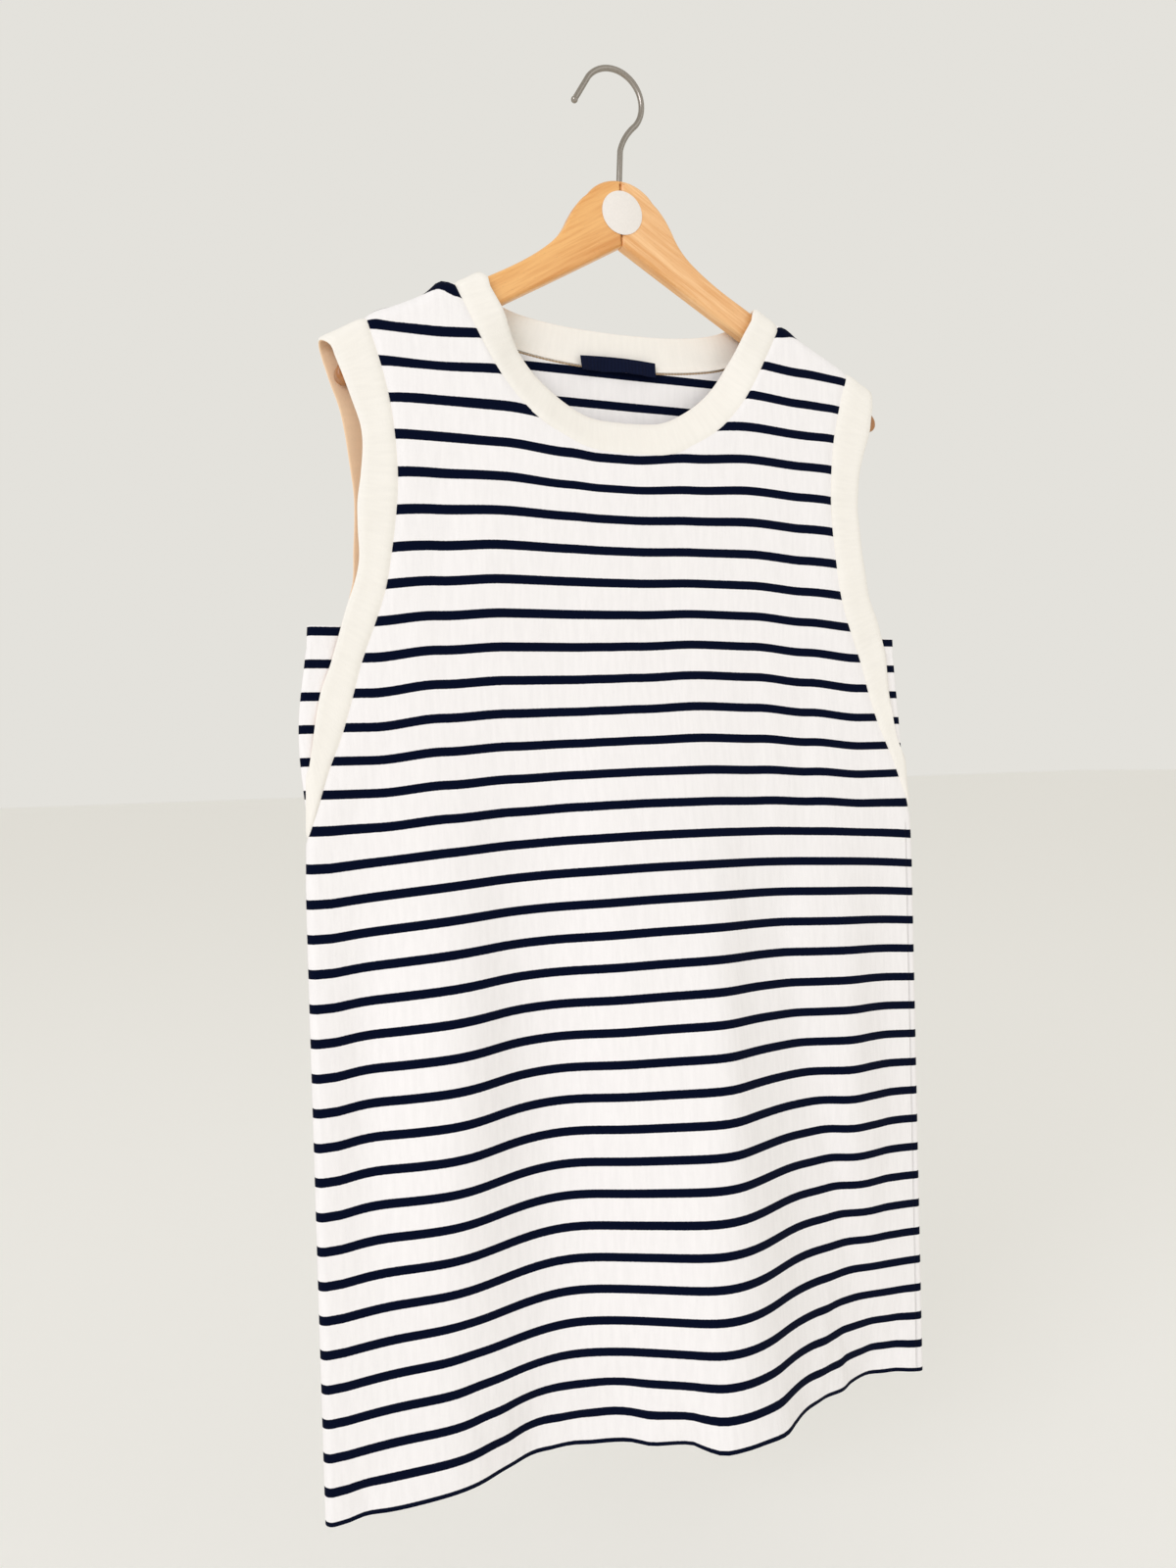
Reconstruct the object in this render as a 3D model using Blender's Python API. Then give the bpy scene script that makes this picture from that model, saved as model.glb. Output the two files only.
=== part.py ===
"""Sleeveless striped mini dress on a wooden hanger, as cut and sewn pieces.

Metres, +Z up. The front of the dress faces -Y. The origin is the inner top of
the hanger's wire hook, where the whole thing is held. Heights in the tables
are measured up from the side ends of the hem, and half widths from the
dress's centre line.
"""
import bisect
import math

import bmesh
import bpy
from mathutils import Matrix, Vector

# Places of the whole
HOOK_ABOVE_HEM = 1.0372      # inner top of the hook above the side ends of the hem
CENTRE_X = 0.006             # centre line of the dress, beside the hook's top
HANGER_X = 0.003             # centre line of the hanger and the hook's stem

# Cloth
JERSEY = 0.0014              # wall of the striped body cloth
BAND = 0.0024                # folded plain bands round the neck and the armholes
SEAM_GAP = 0.0003            # left open between two sewn pieces
SLANTED_GAP = 4.4            # times longer where a band starts at a slant to its seam
SLANTED_ABOVE_BASE = 0.06    # height above the armhole's base where that slant is gone
LAYER_GAP = 0.0008           # left open between two layers that lie on each other

# Body tube
HALF_WIDTH = 0.249           # from the centre line to a side fold
SIDE_TAPER = 0.0085          # the side folds draw in by this beside the armholes
TAPER_HEIGHTS = (0.42, 0.62)
SIDE_CURL = 0.005            # how far in from the side the cloth starts to turn
CREST_CURL = 0.009           # how far below the shoulder line the cloth starts to turn
ARMHOLE_BASE = 0.473         # height where both armhole seams reach the side
SHOULDER_TIP = (0.195, 0.831)    # half width and height of the shoulder seam's outer end
NECK_POINT = (0.1315, 0.8615)    # half width and height of the shoulder seam's inner end
SKEW = -0.0035               # the dress hangs this far to the left from the armholes up
SKEW_HEIGHTS = (0.46, 0.58)

# Depth of the cloth in front of and behind the plane of the side folds
EDGE_DEPTH = 0.005
SHOULDER_DEPTH = 0.0082
BULGE = 0.004
SHOULDER_HEIGHTS = (0.58, 0.74)
BACK_FOLLOWS = 0.30          # share of a front fold that the back panel repeats
BACK_WAVE_HEIGHTS = (0.50, 0.66)     # where the back's own waves die out
SIDE_EASE = 0.030            # all folds die out over this width beside a side fold

# Line over the shoulders: half width, height
CREST = ((0.0, 0.9180), (0.113, 0.8712), (0.1315, 0.8615), (0.195, 0.831), (0.226, 0.8130), (0.25, 0.80))

# Front neckline seam: half width, height, half width of the free edge, height of the free edge
NECK_FRONT = (
    (0.0000, 0.7490, 0.0000, 0.7740),
    (0.0320, 0.7515, 0.0285, 0.7762),
    (0.0540, 0.7605, 0.0465, 0.7842),
    (0.0770, 0.7750, 0.0640, 0.7965),
    (0.0960, 0.7950, 0.0785, 0.8120),
    (0.1095, 0.8160, 0.0890, 0.8290),
    (0.1205, 0.8370, 0.0975, 0.8465),
    (0.1290, 0.8540, 0.1062, 0.8610),
    (0.1315, 0.8615, 0.1120, 0.8716),
)

NECK_LEAN = 0.009            # the front neckband's free edge leans back by this
NECK_LEAN_DROPS = (0.030, 0.075)     # below the shoulder line, where the lean starts and is full

# Back neckline seam, with the same columns
NECK_BACK = (
    (0.0000, 0.8190, 0.0000, 0.8460),
    (0.0350, 0.8200, 0.0320, 0.8468),
    (0.0650, 0.8230, 0.0585, 0.8490),
    (0.0900, 0.8280, 0.0790, 0.8525),
    (0.1100, 0.8370, 0.0945, 0.8580),
    (0.1240, 0.8490, 0.1050, 0.8650),
    (0.1315, 0.8615, 0.1120, 0.8716),
)

# Armhole seam: height, half width, then height and half width of the band's free edge
ARMHOLE = (
    (0.473, 0.2476, 0.517, 0.2450),
    (0.485, 0.2430, 0.521, 0.2433),
    (0.497, 0.2385, 0.527, 0.2422),
    (0.519, 0.2305, 0.541, 0.2396),
    (0.543, 0.2200, 0.558, 0.2365),
    (0.568, 0.2115, 0.581, 0.2320),
    (0.594, 0.2040, 0.604, 0.2270),
    (0.618, 0.1950, 0.628, 0.2200),
    (0.643, 0.1865, 0.650, 0.2120),
    (0.670, 0.1815, 0.674, 0.2080),
    (0.695, 0.1780, 0.697, 0.2050),
    (0.720, 0.1760, 0.720, 0.2030),
    (0.748, 0.1770, 0.745, 0.2040),
    (0.774, 0.1800, 0.769, 0.2090),
    (0.800, 0.1860, 0.790, 0.2170),
    (0.822, 0.1927, 0.804, 0.2235),
    (0.831, 0.1950, 0.813, 0.2260),
)
BACK_WIDER = 0.008           # the back armhole is scooped this much less
BACK_WIDER_AT = (0.760, 0.045)   # height of that and its spread
BACK_WIDER_STARTS = (0.60, 0.66)
BACK_WIDER_ENDS = (0.79, 0.831)
RIGHT_TIP_IN = 0.008         # the right armband's shoulder end stands out this much less
RIGHT_TIP_HEIGHTS = (0.76, 0.81)

# Long folds of the front: half width of the place at the hem and higher up, spread to the left
# and right, depth at the hem, depth at its fullest height, that height, height where it is gone
FOLDS = (
    (0.049, 0.036, 0.0455, 0.0520, 0.051, 0.0510, 0.05, 0.66),
    (-0.155, -0.155, 0.0280, 0.0280, 0.004, 0.0135, 0.24, 0.62),
    (0.200, 0.152, 0.0260, 0.0260, -0.002, 0.0145, 0.26, 0.60),
    (-0.036, -0.036, 0.0260, 0.0260, 0.000, 0.0100, 0.34, 0.62),
    (-0.092, -0.092, 0.0220, 0.0220, -0.0135, 0.0, 0.10, 0.12),
    (0.205, 0.205, 0.0200, 0.0200, -0.009, 0.0, 0.09, 0.11),
    (-0.222, -0.222, 0.0120, 0.0120, -0.004, 0.0, 0.05, 0.07),
)
FOLD_SETTLES = 0.20          # height over which a fold's place moves from the hem's to the upper one

# Soft waves of the back alone: place, spread, depth, height of the middle, spread of height
BACK_WAVES = (
    (0.130, 0.040, 0.005, 0.10, 0.30),
    (-0.020, 0.035, -0.004, 0.20, 0.30),
    (-0.170, 0.030, 0.004, 0.25, 0.25),
)

# The hem's middle hangs higher than its ends
HEM_RISE = 0.0125
HEM_RISE_CENTRE = 0.010
HEM_RISE_REACH = 0.243

# Underarm inset, folded at the side behind the band
INSET_WALL = 0.0013
INSET_TOP = 0.617
INSET_BOTTOM = 0.492
INSET_UNDER_BAND = 0.008     # how far outside the armhole seam its sides end
INSET_SIDE_HEIGHTS = (0.462, 0.542)  # where its sides come out to that
INSET_ROWS = 10
INSET_TURNS = 6

# Neck label, folded cloth sewn inside the back neckband's seam
LABEL_SIZE = (0.062, 0.011)
LABEL_WALL = 0.0008
LABEL_TOP = 0.8280

# Hanger: flat wooden body with a rounded head
HANGER_THICK = 0.0120
HANGER_ROUND = 0.0022
HEAD_CENTRE = 0.9210
HEAD_RADIUS = 0.0335
HEAD_TOP_BORE = 0.016        # depth of the hole for the wire
HEAD_CLEARS_ARM = 6.0        # degrees left between the head's arc and the arm's first point
# Half outline from the head down the top of the arm, round its end and back: half width, height
HANGER_EDGE = (
    (0.0310, 0.9330), (0.0380, 0.9240), (0.0455, 0.9140), (0.0545, 0.9025), (0.0670, 0.8930),
    (0.0860, 0.8832), (0.1085, 0.8710), (0.1600, 0.8392), (0.2130, 0.8045),
    (0.2205, 0.7970), (0.2230, 0.7910), (0.2210, 0.7850), (0.2150, 0.7825),
    (0.1600, 0.8150), (0.1020, 0.8490), (0.0500, 0.8800), (0.0140, 0.9040), (0.0, 0.9090),
)

# Hook: bright steel wire
WIRE = 0.0037
HOOK_RADIUS = 0.0240         # of the wire's middle line, round the hanging point
HOOK_ARC = (-38.0, 168.0)    # degrees where the round stretch starts and ends
HOOK_STEM_TOP = 0.9850
HOOK_EASE = (0.007, 0.010)   # how far the wire runs straight out of the stem and into the arc
HOOK_TIP = (-0.0365, 1.0110)

# Blank round paper spot on the head
SPOT_RADIUS = 0.0162
SPOT_THICK = 0.0004
SPOT_HEIGHT = 0.9300

PALE = (0.87, 0.86, 0.84)
CREAM = (0.88, 0.85, 0.78)
NAVY = (0.012, 0.022, 0.060)
WOOD = (0.72, 0.44, 0.20)
STEEL = (0.62, 0.62, 0.61)
PAPER = (0.85, 0.84, 0.82)


def smooth(value, low, high):
    """0 below low, 1 above high, with no kink."""
    t = min(1.0, max(0.0, (value - low) / (high - low)))
    return t * t * (3.0 - 2.0 * t)


def mix(a, b, t):
    return a + (b - a) * t


def along(rows, key, column, at):
    """A smooth curve through one column of a table, read at a value of its key column."""
    keys = [row[key] for row in rows]
    i = min(max(bisect.bisect_right(keys, at) - 1, 0), len(rows) - 2)
    k0, k1 = keys[i], keys[i + 1]
    v0, v1 = rows[i][column], rows[i + 1][column]
    slope = (v1 - v0) / (k1 - k0)
    before = slope if i == 0 else (v1 - rows[i - 1][column]) / (k1 - keys[i - 1])
    after = slope if i + 2 == len(rows) else (rows[i + 2][column] - v0) / (keys[i + 2] - k0)
    t = min(1.0, max(0.0, (at - k0) / (k1 - k0)))
    span = k1 - k0
    return (v0 * (2 * t ** 3 - 3 * t ** 2 + 1) + before * span * (t ** 3 - 2 * t ** 2 + t)
            + v1 * (3 * t ** 2 - 2 * t ** 3) + after * span * (t ** 3 - t ** 2))


def crest(x):
    """Height of the line over the shoulders."""
    x = abs(x)
    for (x0, h0), (x1, h1) in zip(CREST, CREST[1:]):
        if x <= x1:
            return mix(h0, h1, (x - x0) / (x1 - x0))
    return CREST[-1][1]


def hem_height(x):
    return HEM_RISE * max(0.0, 1.0 - ((x - HEM_RISE_CENTRE) / HEM_RISE_REACH) ** 2)


def fold_depth(x, h):
    """All the long folds of the front at one place, positive towards the viewer."""
    total = 0.0
    for low, high, left, right, at_hem, fullest, full_height, gone in FOLDS:
        centre = high + (low - high) * math.exp(-max(h, 0.0) / FOLD_SETTLES)
        spread = left if x < centre else right
        depth = mix(at_hem, fullest, smooth(h, 0.0, full_height)) * (1.0 - smooth(h, full_height, gone))
        total += depth * math.exp(-0.5 * ((x - centre) / spread) ** 2)
    return total


def depth(x, h, back):
    """How far the cloth's middle lies in front of (or behind) the plane of the side folds."""
    across = 1.0 - (x / HALF_WIDTH) ** 2
    base = mix(EDGE_DEPTH, SHOULDER_DEPTH, smooth(h, *SHOULDER_HEIGHTS)) + BULGE * across
    near_side = smooth(HALF_WIDTH - abs(x), 0.0, SIDE_EASE)
    folds = fold_depth(x, h) * near_side
    if not back:
        return base + folds
    waves = sum(d * math.exp(-0.5 * ((x - c) / s) ** 2 - 0.5 * ((h - m) / r) ** 2)
                for c, s, d, m, r in BACK_WAVES)
    waves *= (1.0 - smooth(h, *BACK_WAVE_HEIGHTS)) * near_side
    return base + waves - BACK_FOLLOWS * folds


def skew(h):
    return SKEW * smooth(h, *SKEW_HEIGHTS)


def half_width(h):
    """From the centre line to the side fold at a height."""
    return HALF_WIDTH - SIDE_TAPER * smooth(h, *TAPER_HEIGHTS)


def share_squared(x, h):
    """Square of the share that is left of the depth where the cloth turns at a side or a shoulder."""
    side = min(1.0, max(0.0, (abs(x) - (half_width(h) - SIDE_CURL)) / SIDE_CURL))
    top = min(1.0, max(0.0, (h - (crest(x) - CREST_CURL)) / CREST_CURL))
    return (1.0 - side * side) * (1.0 - top * top)


def on_cloth(x, h, back):
    """The middle of the cloth at a half width and a height, in the part's own frame."""
    y = depth(x, h, back) * math.sqrt(share_squared(x, h))
    return Vector((CENTRE_X + x + skew(h), y if back else -y, h - HOOK_ABOVE_HEM))


def outward(x, h, back, step=0.0004):
    """The cloth's outward normal, which stays exact where the cloth turns at a side or a shoulder."""
    d = depth(x, h, back)
    left = share_squared(x, h)
    d_x = (depth(x + step, h, back) - depth(x - step, h, back)) / (2 * step)
    d_h = (depth(x, h + step, back) - depth(x, h - step, back)) / (2 * step)
    s_x = (share_squared(x + step, h) - share_squared(x - step, h)) / (2 * step)
    s_h = (share_squared(x, h + step) - share_squared(x, h - step)) / (2 * step)
    lean = (skew(h + step) - skew(h - step)) / (2 * step)
    n_x = -(d_x * left + 0.5 * d * s_x)
    n_h = -(d_h * left + 0.5 * d * s_h) - n_x * lean
    n_y = math.sqrt(left)
    return Vector((n_x, n_y if back else -n_y, n_h)).normalized()


def armhole(h, back, side, free=False):
    """Half width of the armhole seam at a height, or half width and height of the free edge beside it."""
    wider = 0.0
    if back:
        middle, spread = BACK_WIDER_AT
        wider = BACK_WIDER * math.exp(-0.5 * ((h - middle) / spread) ** 2)
        wider *= smooth(h, *BACK_WIDER_STARTS) * (1.0 - smooth(h, *BACK_WIDER_ENDS))
    if not free:
        return min(along(ARMHOLE, 0, 1, h) + wider, half_width(h))
    free_h = along(ARMHOLE, 0, 2, h)
    if side > 0:
        wider -= RIGHT_TIP_IN * smooth(h, *RIGHT_TIP_HEIGHTS)
    return min(along(ARMHOLE, 0, 3, h) + wider, half_width(free_h)), free_h


def neck_height(x, back):
    """Height of the panel's top edge: the neckline inside the neck point, the shoulder outside."""
    x = abs(x)
    if x >= NECK_POINT[0]:
        return crest(x)
    return along(NECK_BACK if back else NECK_FRONT, 0, 1, x)


# Half widths of the panel's columns where they meet the neckline and the shoulder seam
TOP_COLUMNS = (0.0, 0.018, 0.036, 0.054, 0.071, 0.087, 0.101, 0.113, 0.122, 0.1275, 0.1303, 0.1311,
               0.1315, 0.148, 0.165, 0.180, 0.1911, 0.1931, 0.1945, 0.195)
NECK_COLUMNS = TOP_COLUMNS.index(NECK_POINT[0])
# Heights of the panel's rows where they meet the side fold and the armhole
SIDE_ROWS = (0.0, 0.07, 0.14, 0.22, 0.30, 0.39, 0.473, 0.4748, 0.479, 0.4855, 0.497, 0.517, 0.541, 0.566,
             0.592, 0.618, 0.644, 0.670, 0.696, 0.722, 0.748, 0.774, 0.799, 0.822)
ARMHOLE_ROW = SIDE_ROWS.index(ARMHOLE_BASE)
CREST_ANGLES = (30.0, 60.0, 90.0)


def column_share(x_top, back):
    """A column's share of the half width, from its place on the top edge."""
    return x_top / armhole(min(neck_height(x_top, back), SHOULDER_TIP[1]), back, 1)


def panel_column(share, top, back):
    """One column of a panel from the hem to its top edge, as places (half width, height, back)."""
    curl_start = SHOULDER_TIP[1] - CREST_CURL
    bottom = hem_height(share * HALF_WIDTH)
    heights = [bottom + (top - CREST_CURL - bottom) * row / curl_start for row in SIDE_ROWS]
    heights += [top - CREST_CURL * (1.0 - math.sin(math.radians(a))) for a in CREST_ANGLES]
    places = []
    for h in heights:
        half = armhole(h, back, 1) if h > ARMHOLE_BASE else half_width(h)
        places.append((share * half, h, back))
    return places


def cloth(name, grid, wall, closed=False, inward=0.0, edge_gap=0.0):
    """A wall of cloth on a grid of places on the dress: each line of the grid runs across the sheet.

    The two faces of the wall are the same places moved out and in along the cloth's normal.
    inward sets the whole piece behind the dress's own cloth. edge_gap draws the edges on
    the side fold and the shoulder line back from the piece that meets them there.
    """
    bm = bmesh.new()
    outer, inner = [], []
    for line in grid:
        out_line, in_line = [], []
        for x, h, back, *lean in line:
            normal = outward(x, h, back)
            point = on_cloth(x, h, back) - normal * inward
            point.y += sum(lean)
            if edge_gap and share_squared(x, h) < 1e-9:
                point.y += edge_gap if back else -edge_gap
            out_line.append(bm.verts.new(point + normal * wall / 2))
            in_line.append(bm.verts.new(point - normal * wall / 2))
        outer.append(out_line)
        inner.append(in_line)
    count = len(grid)
    spans = [(i, (i + 1) % count) for i in range(count if closed else count - 1)]
    last = len(grid[0]) - 1
    for a, b in spans:
        for i in range(last):
            bm.faces.new((outer[a][i], outer[b][i], outer[b][i + 1], outer[a][i + 1]))
            bm.faces.new((inner[a][i], inner[a][i + 1], inner[b][i + 1], inner[b][i]))
        bm.faces.new((outer[a][0], inner[a][0], inner[b][0], outer[b][0]))
        bm.faces.new((outer[a][last], outer[b][last], inner[b][last], inner[a][last]))
    if not closed:
        for i in range(last):
            bm.faces.new((outer[0][i], outer[0][i + 1], inner[0][i + 1], inner[0][i]))
            bm.faces.new((outer[-1][i], inner[-1][i], inner[-1][i + 1], outer[-1][i + 1]))
    bmesh.ops.recalc_face_normals(bm, faces=bm.faces)
    mesh = bpy.data.meshes.new(name)
    bm.to_mesh(mesh)
    bm.free()
    return bpy.data.objects.new(name, mesh)


def mirrored(values):
    """The values with their negatives in front, from left to right."""
    return [-v for v in reversed(values[1:])] + list(values)


def panel(name, back):
    """Front or back panel, column by column from left to right."""
    grid = []
    for x_top in mirrored(TOP_COLUMNS):
        top = neck_height(x_top, back)
        share = math.copysign(column_share(abs(x_top), back), x_top)
        grid.append(panel_column(share, top, back))
    return cloth(name, grid, JERSEY, edge_gap=SEAM_GAP / 2)


def across(seam, free, back, steps=3):
    """Places from a seam to a band's free edge, starting a seam gap away from the panel."""
    (x0, h0), (x1, h1) = seam, free
    slant = mix(SLANTED_GAP, 1.0, smooth(h0, ARMHOLE_BASE, ARMHOLE_BASE + SLANTED_ABOVE_BASE))
    start = SEAM_GAP * slant / math.hypot(x1 - x0, h1 - h0)
    shares = [mix(start, 1.0, i / steps) for i in range(steps + 1)]
    return [(mix(x0, x1, t), mix(h0, h1, t), back) for t in shares]


def armband(name, side):
    """Ring round an armhole: up the front from the side fold, over the shoulder, down the back."""
    halves = []
    for back in (False, True):
        stations = []
        for x, h, _ in panel_column(side, SHOULDER_TIP[1], back)[ARMHOLE_ROW:]:
            free_x, free_h = armhole(h, back, side, free=True)
            drop = SHOULDER_TIP[1] - h
            if drop < CREST_CURL * 1.001:
                free_h = crest(free_x) - drop
            stations.append(across((x, h), (side * free_x, free_h), back))
        halves.append(stations)
    front, rear = halves
    return cloth(name, front + rear[-2:0:-1], BAND, closed=True)


def neckband(name):
    """Ring round the neck: across the front from left to right, then back behind the neck."""
    halves = []
    for back in (False, True):
        table = NECK_BACK if back else NECK_FRONT
        stations = []
        for x in mirrored(TOP_COLUMNS[:NECK_COLUMNS + 1]):
            h = neck_height(x, back)
            free_x = along(table, 0, 2, abs(x))
            free_h = along(table, 0, 3, abs(x))
            drop = crest(x) - h
            if drop < CREST_CURL:
                free_h = crest(free_x) - drop
            station = across((x, h), (math.copysign(free_x, x), free_h), back)
            lean = 0.0 if back else NECK_LEAN * smooth(drop, *NECK_LEAN_DROPS)
            stations.append([place + (lean * i / (len(station) - 1),) for i, place in enumerate(station)])
        halves.append(stations)
    front, rear = halves
    return cloth(name, front + rear[-2:0:-1], BAND, closed=True)


def inset(name, side):
    """Striped piece folded round the side, behind the band of both panels."""
    grid = []
    for column in range(-INSET_TURNS, INSET_TURNS + 1):
        back = column > 0
        turn = math.sin(math.radians(90.0 * (1.0 - abs(column) / INSET_TURNS)))
        line = []
        for row in range(INSET_ROWS + 1):
            h = mix(INSET_BOTTOM, INSET_TOP, row / INSET_ROWS)
            hidden = INSET_UNDER_BAND * smooth(h, *INSET_SIDE_HEIGHTS)
            inner = min(armhole(h, back, side) + hidden, half_width(h) - SIDE_CURL)
            line.append((side * mix(inner, half_width(h), turn), h, back))
        grid.append(line)
    return cloth(name, grid, INSET_WALL, inward=BAND / 2 + LAYER_GAP + INSET_WALL / 2)


def label(name):
    """Small plain label inside the back neck, on the seam of the neckband."""
    width, height = LABEL_SIZE
    grid = [[(mix(-width / 2, width / 2, i / 4), LABEL_TOP - height * j / 2, True) for j in range(3)]
            for i in range(5)]
    return cloth(name, grid, LABEL_WALL, inward=BAND / 2 + LAYER_GAP + LABEL_WALL / 2)


def hanger(name):
    """Flat wooden body cut from one outline, with rounded edges and a bore for the hook."""
    arc = []
    start = math.degrees(math.asin((HANGER_EDGE[0][1] - HEAD_CENTRE) / HEAD_RADIUS))
    for i in range(7):
        angle = math.radians(mix(90.0, start + HEAD_CLEARS_ARM, i / 6))
        arc.append((HEAD_RADIUS * math.cos(angle), HEAD_CENTRE + HEAD_RADIUS * math.sin(angle)))
    right = arc + list(HANGER_EDGE)
    left = [(-x, h) for x, h in reversed(right[1:-1])]
    curve = bpy.data.curves.new(name, "CURVE")
    curve.dimensions = "2D"
    curve.fill_mode = "BOTH"
    curve.extrude = HANGER_THICK / 2 - HANGER_ROUND
    curve.bevel_depth = HANGER_ROUND
    curve.bevel_resolution = 1
    curve.offset = -HANGER_ROUND
    outline = curve.splines.new("POLY")
    outline.points.add(len(right) + len(left) - 1)
    for point, (x, h) in zip(outline.points, right + left):
        point.co = (x, h - HOOK_ABOVE_HEM, 0.0, 1.0)
    outline.use_cyclic_u = True
    drawing = bpy.data.objects.new(name, curve)
    upright = Matrix.Rotation(math.radians(90), 4, "X")
    drawing.matrix_world = Matrix.Translation((HANGER_X, 0.0, 0.0)) @ upright
    bpy.context.scene.collection.objects.link(drawing)
    bpy.context.view_layer.update()
    evaluated = drawing.evaluated_get(bpy.context.evaluated_depsgraph_get())
    mesh = bpy.data.meshes.new_from_object(evaluated)
    mesh.transform(drawing.matrix_world)
    bpy.data.objects.remove(drawing)
    bm = bmesh.new()
    bm.from_mesh(mesh)
    bmesh.ops.remove_doubles(bm, verts=bm.verts, dist=0.00001)
    bmesh.ops.recalc_face_normals(bm, faces=bm.faces)
    bm.to_mesh(mesh)
    bm.free()
    thing = bpy.data.objects.new(name, mesh)
    top = HEAD_CENTRE + HEAD_RADIUS
    bore = cylinder("hook_bore", WIRE / 2 + SEAM_GAP, HEAD_TOP_BORE * 2)
    bore.matrix_world = Matrix.Translation((HANGER_X, 0.0, top - HOOK_ABOVE_HEM))
    bore.hide_render = True
    bore.display_type = "WIRE"
    cut = thing.modifiers.new("Hook bore", "BOOLEAN")
    cut.operation = "DIFFERENCE"
    cut.object = bore
    return thing, bore


def cylinder(name, radius, length, sides=16):
    bm = bmesh.new()
    bmesh.ops.create_cone(bm, cap_ends=True, segments=sides, radius1=radius, radius2=radius, depth=length)
    mesh = bpy.data.meshes.new(name)
    bm.to_mesh(mesh)
    bm.free()
    return bpy.data.objects.new(name, mesh)


def hook_route():
    """Middle line of the wire, from inside the head up the stem, round the hook to its tip."""
    stem_x = HANGER_X
    low = HEAD_CENTRE + HEAD_RADIUS - HEAD_TOP_BORE + SEAM_GAP - HOOK_ABOVE_HEM
    stem_top = HOOK_STEM_TOP - HOOK_ABOVE_HEM
    middle = WIRE / 2 - HOOK_RADIUS
    points = [Vector((stem_x, 0.0, low)), Vector((stem_x, 0.0, mix(low, stem_top, 0.6)))]
    first = math.radians(HOOK_ARC[0])
    join = Vector((HOOK_RADIUS * math.cos(first), 0.0, middle + HOOK_RADIUS * math.sin(first)))
    stem_end = Vector((stem_x, 0.0, stem_top))
    rise = Vector((0.0, 0.0, HOOK_EASE[0]))
    pull = join + Vector((math.sin(first), 0.0, -math.cos(first))) * HOOK_EASE[1]
    for i in range(6):
        t = i / 6
        points.append(stem_end.lerp(stem_end + rise, t).lerp(pull.lerp(join, t), t))
    for i in range(15):
        angle = math.radians(mix(*HOOK_ARC, i / 14))
        points.append(Vector((HOOK_RADIUS * math.cos(angle), 0.0, middle + HOOK_RADIUS * math.sin(angle))))
    tip = Vector((HOOK_TIP[0] + CENTRE_X, 0.0, HOOK_TIP[1] - HOOK_ABOVE_HEM))
    last = points[-1]
    for i in range(1, 4):
        points.append(last.lerp(tip, i / 3))
    return points


def hook(name):
    curve = bpy.data.curves.new(name, "CURVE")
    curve.dimensions = "3D"
    curve.bevel_depth = WIRE / 2
    curve.bevel_resolution = 2
    curve.use_fill_caps = True
    route = hook_route()
    wire = curve.splines.new("POLY")
    wire.points.add(len(route) - 1)
    for point, place in zip(wire.points, route):
        point.co = (*place, 1.0)
    return bpy.data.objects.new(name, curve)


def spot(name):
    thing = cylinder(name, SPOT_RADIUS, SPOT_THICK, 40)
    y = -HANGER_THICK / 2 - SEAM_GAP - SPOT_THICK / 2
    thing.matrix_world = (Matrix.Translation((HANGER_X, y, SPOT_HEIGHT - HOOK_ABOVE_HEM))
                          @ Matrix.Rotation(math.radians(90), 4, "X"))
    return thing


def finish(thing, name, colour, roughness, metallic=0.0):
    material = bpy.data.materials.new(name)
    material.use_nodes = True
    shader = material.node_tree.nodes["Principled BSDF"]
    shader.inputs["Base Color"].default_value = (*colour, 1.0)
    shader.inputs["Roughness"].default_value = roughness
    shader.inputs["Metallic"].default_value = metallic
    thing.data.materials.append(material)


def build():
    for old in list(bpy.data.objects):
        bpy.data.objects.remove(old)
    dress = bpy.data.collections.new("mini_dress_on_hanger")
    cutters = bpy.data.collections.new("cutters")
    bpy.context.scene.collection.children.link(dress)
    bpy.context.scene.collection.children.link(cutters)
    pieces = [
        (panel("front_panel", False), "striped_jersey", PALE, 0.85),
        (panel("back_panel", True), "striped_jersey_back", PALE, 0.85),
        (neckband("neckband"), "plain_rib", CREAM, 0.85),
        (armband("armband_left", -1), "plain_rib_left", CREAM, 0.85),
        (armband("armband_right", 1), "plain_rib_right", CREAM, 0.85),
        (inset("underarm_inset_left", -1), "striped_jersey_inset_left", PALE, 0.85),
        (inset("underarm_inset_right", 1), "striped_jersey_inset_right", PALE, 0.85),
        (label("neck_label"), "woven_label", NAVY, 0.7),
        (spot("blank_spot"), "paper", PAPER, 0.5),
    ]
    wood, bore = hanger("hanger_wood")
    pieces.append((wood, "varnished_wood", WOOD, 0.35))
    for thing, material, colour, roughness in pieces:
        finish(thing, material, colour, roughness)
        dress.objects.link(thing)
    wire = hook("hanger_hook")
    finish(wire, "bright_steel", STEEL, 0.25, 1.0)
    dress.objects.link(wire)
    cutters.objects.link(bore)


build()
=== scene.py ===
# %% [markdown]
# # A striped mini dress on a wooden hanger
# The model's frame holds every sewn piece as a plain solid at its true place. This script
# makes each piece again as a finer sheet of cloth on the same form, gives it the stripes,
# the seams and the soft creases of the real one, and finishes the hanger that carries it.

# %% The frame
import math

import bpy
from mathutils import Matrix, Vector


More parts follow.
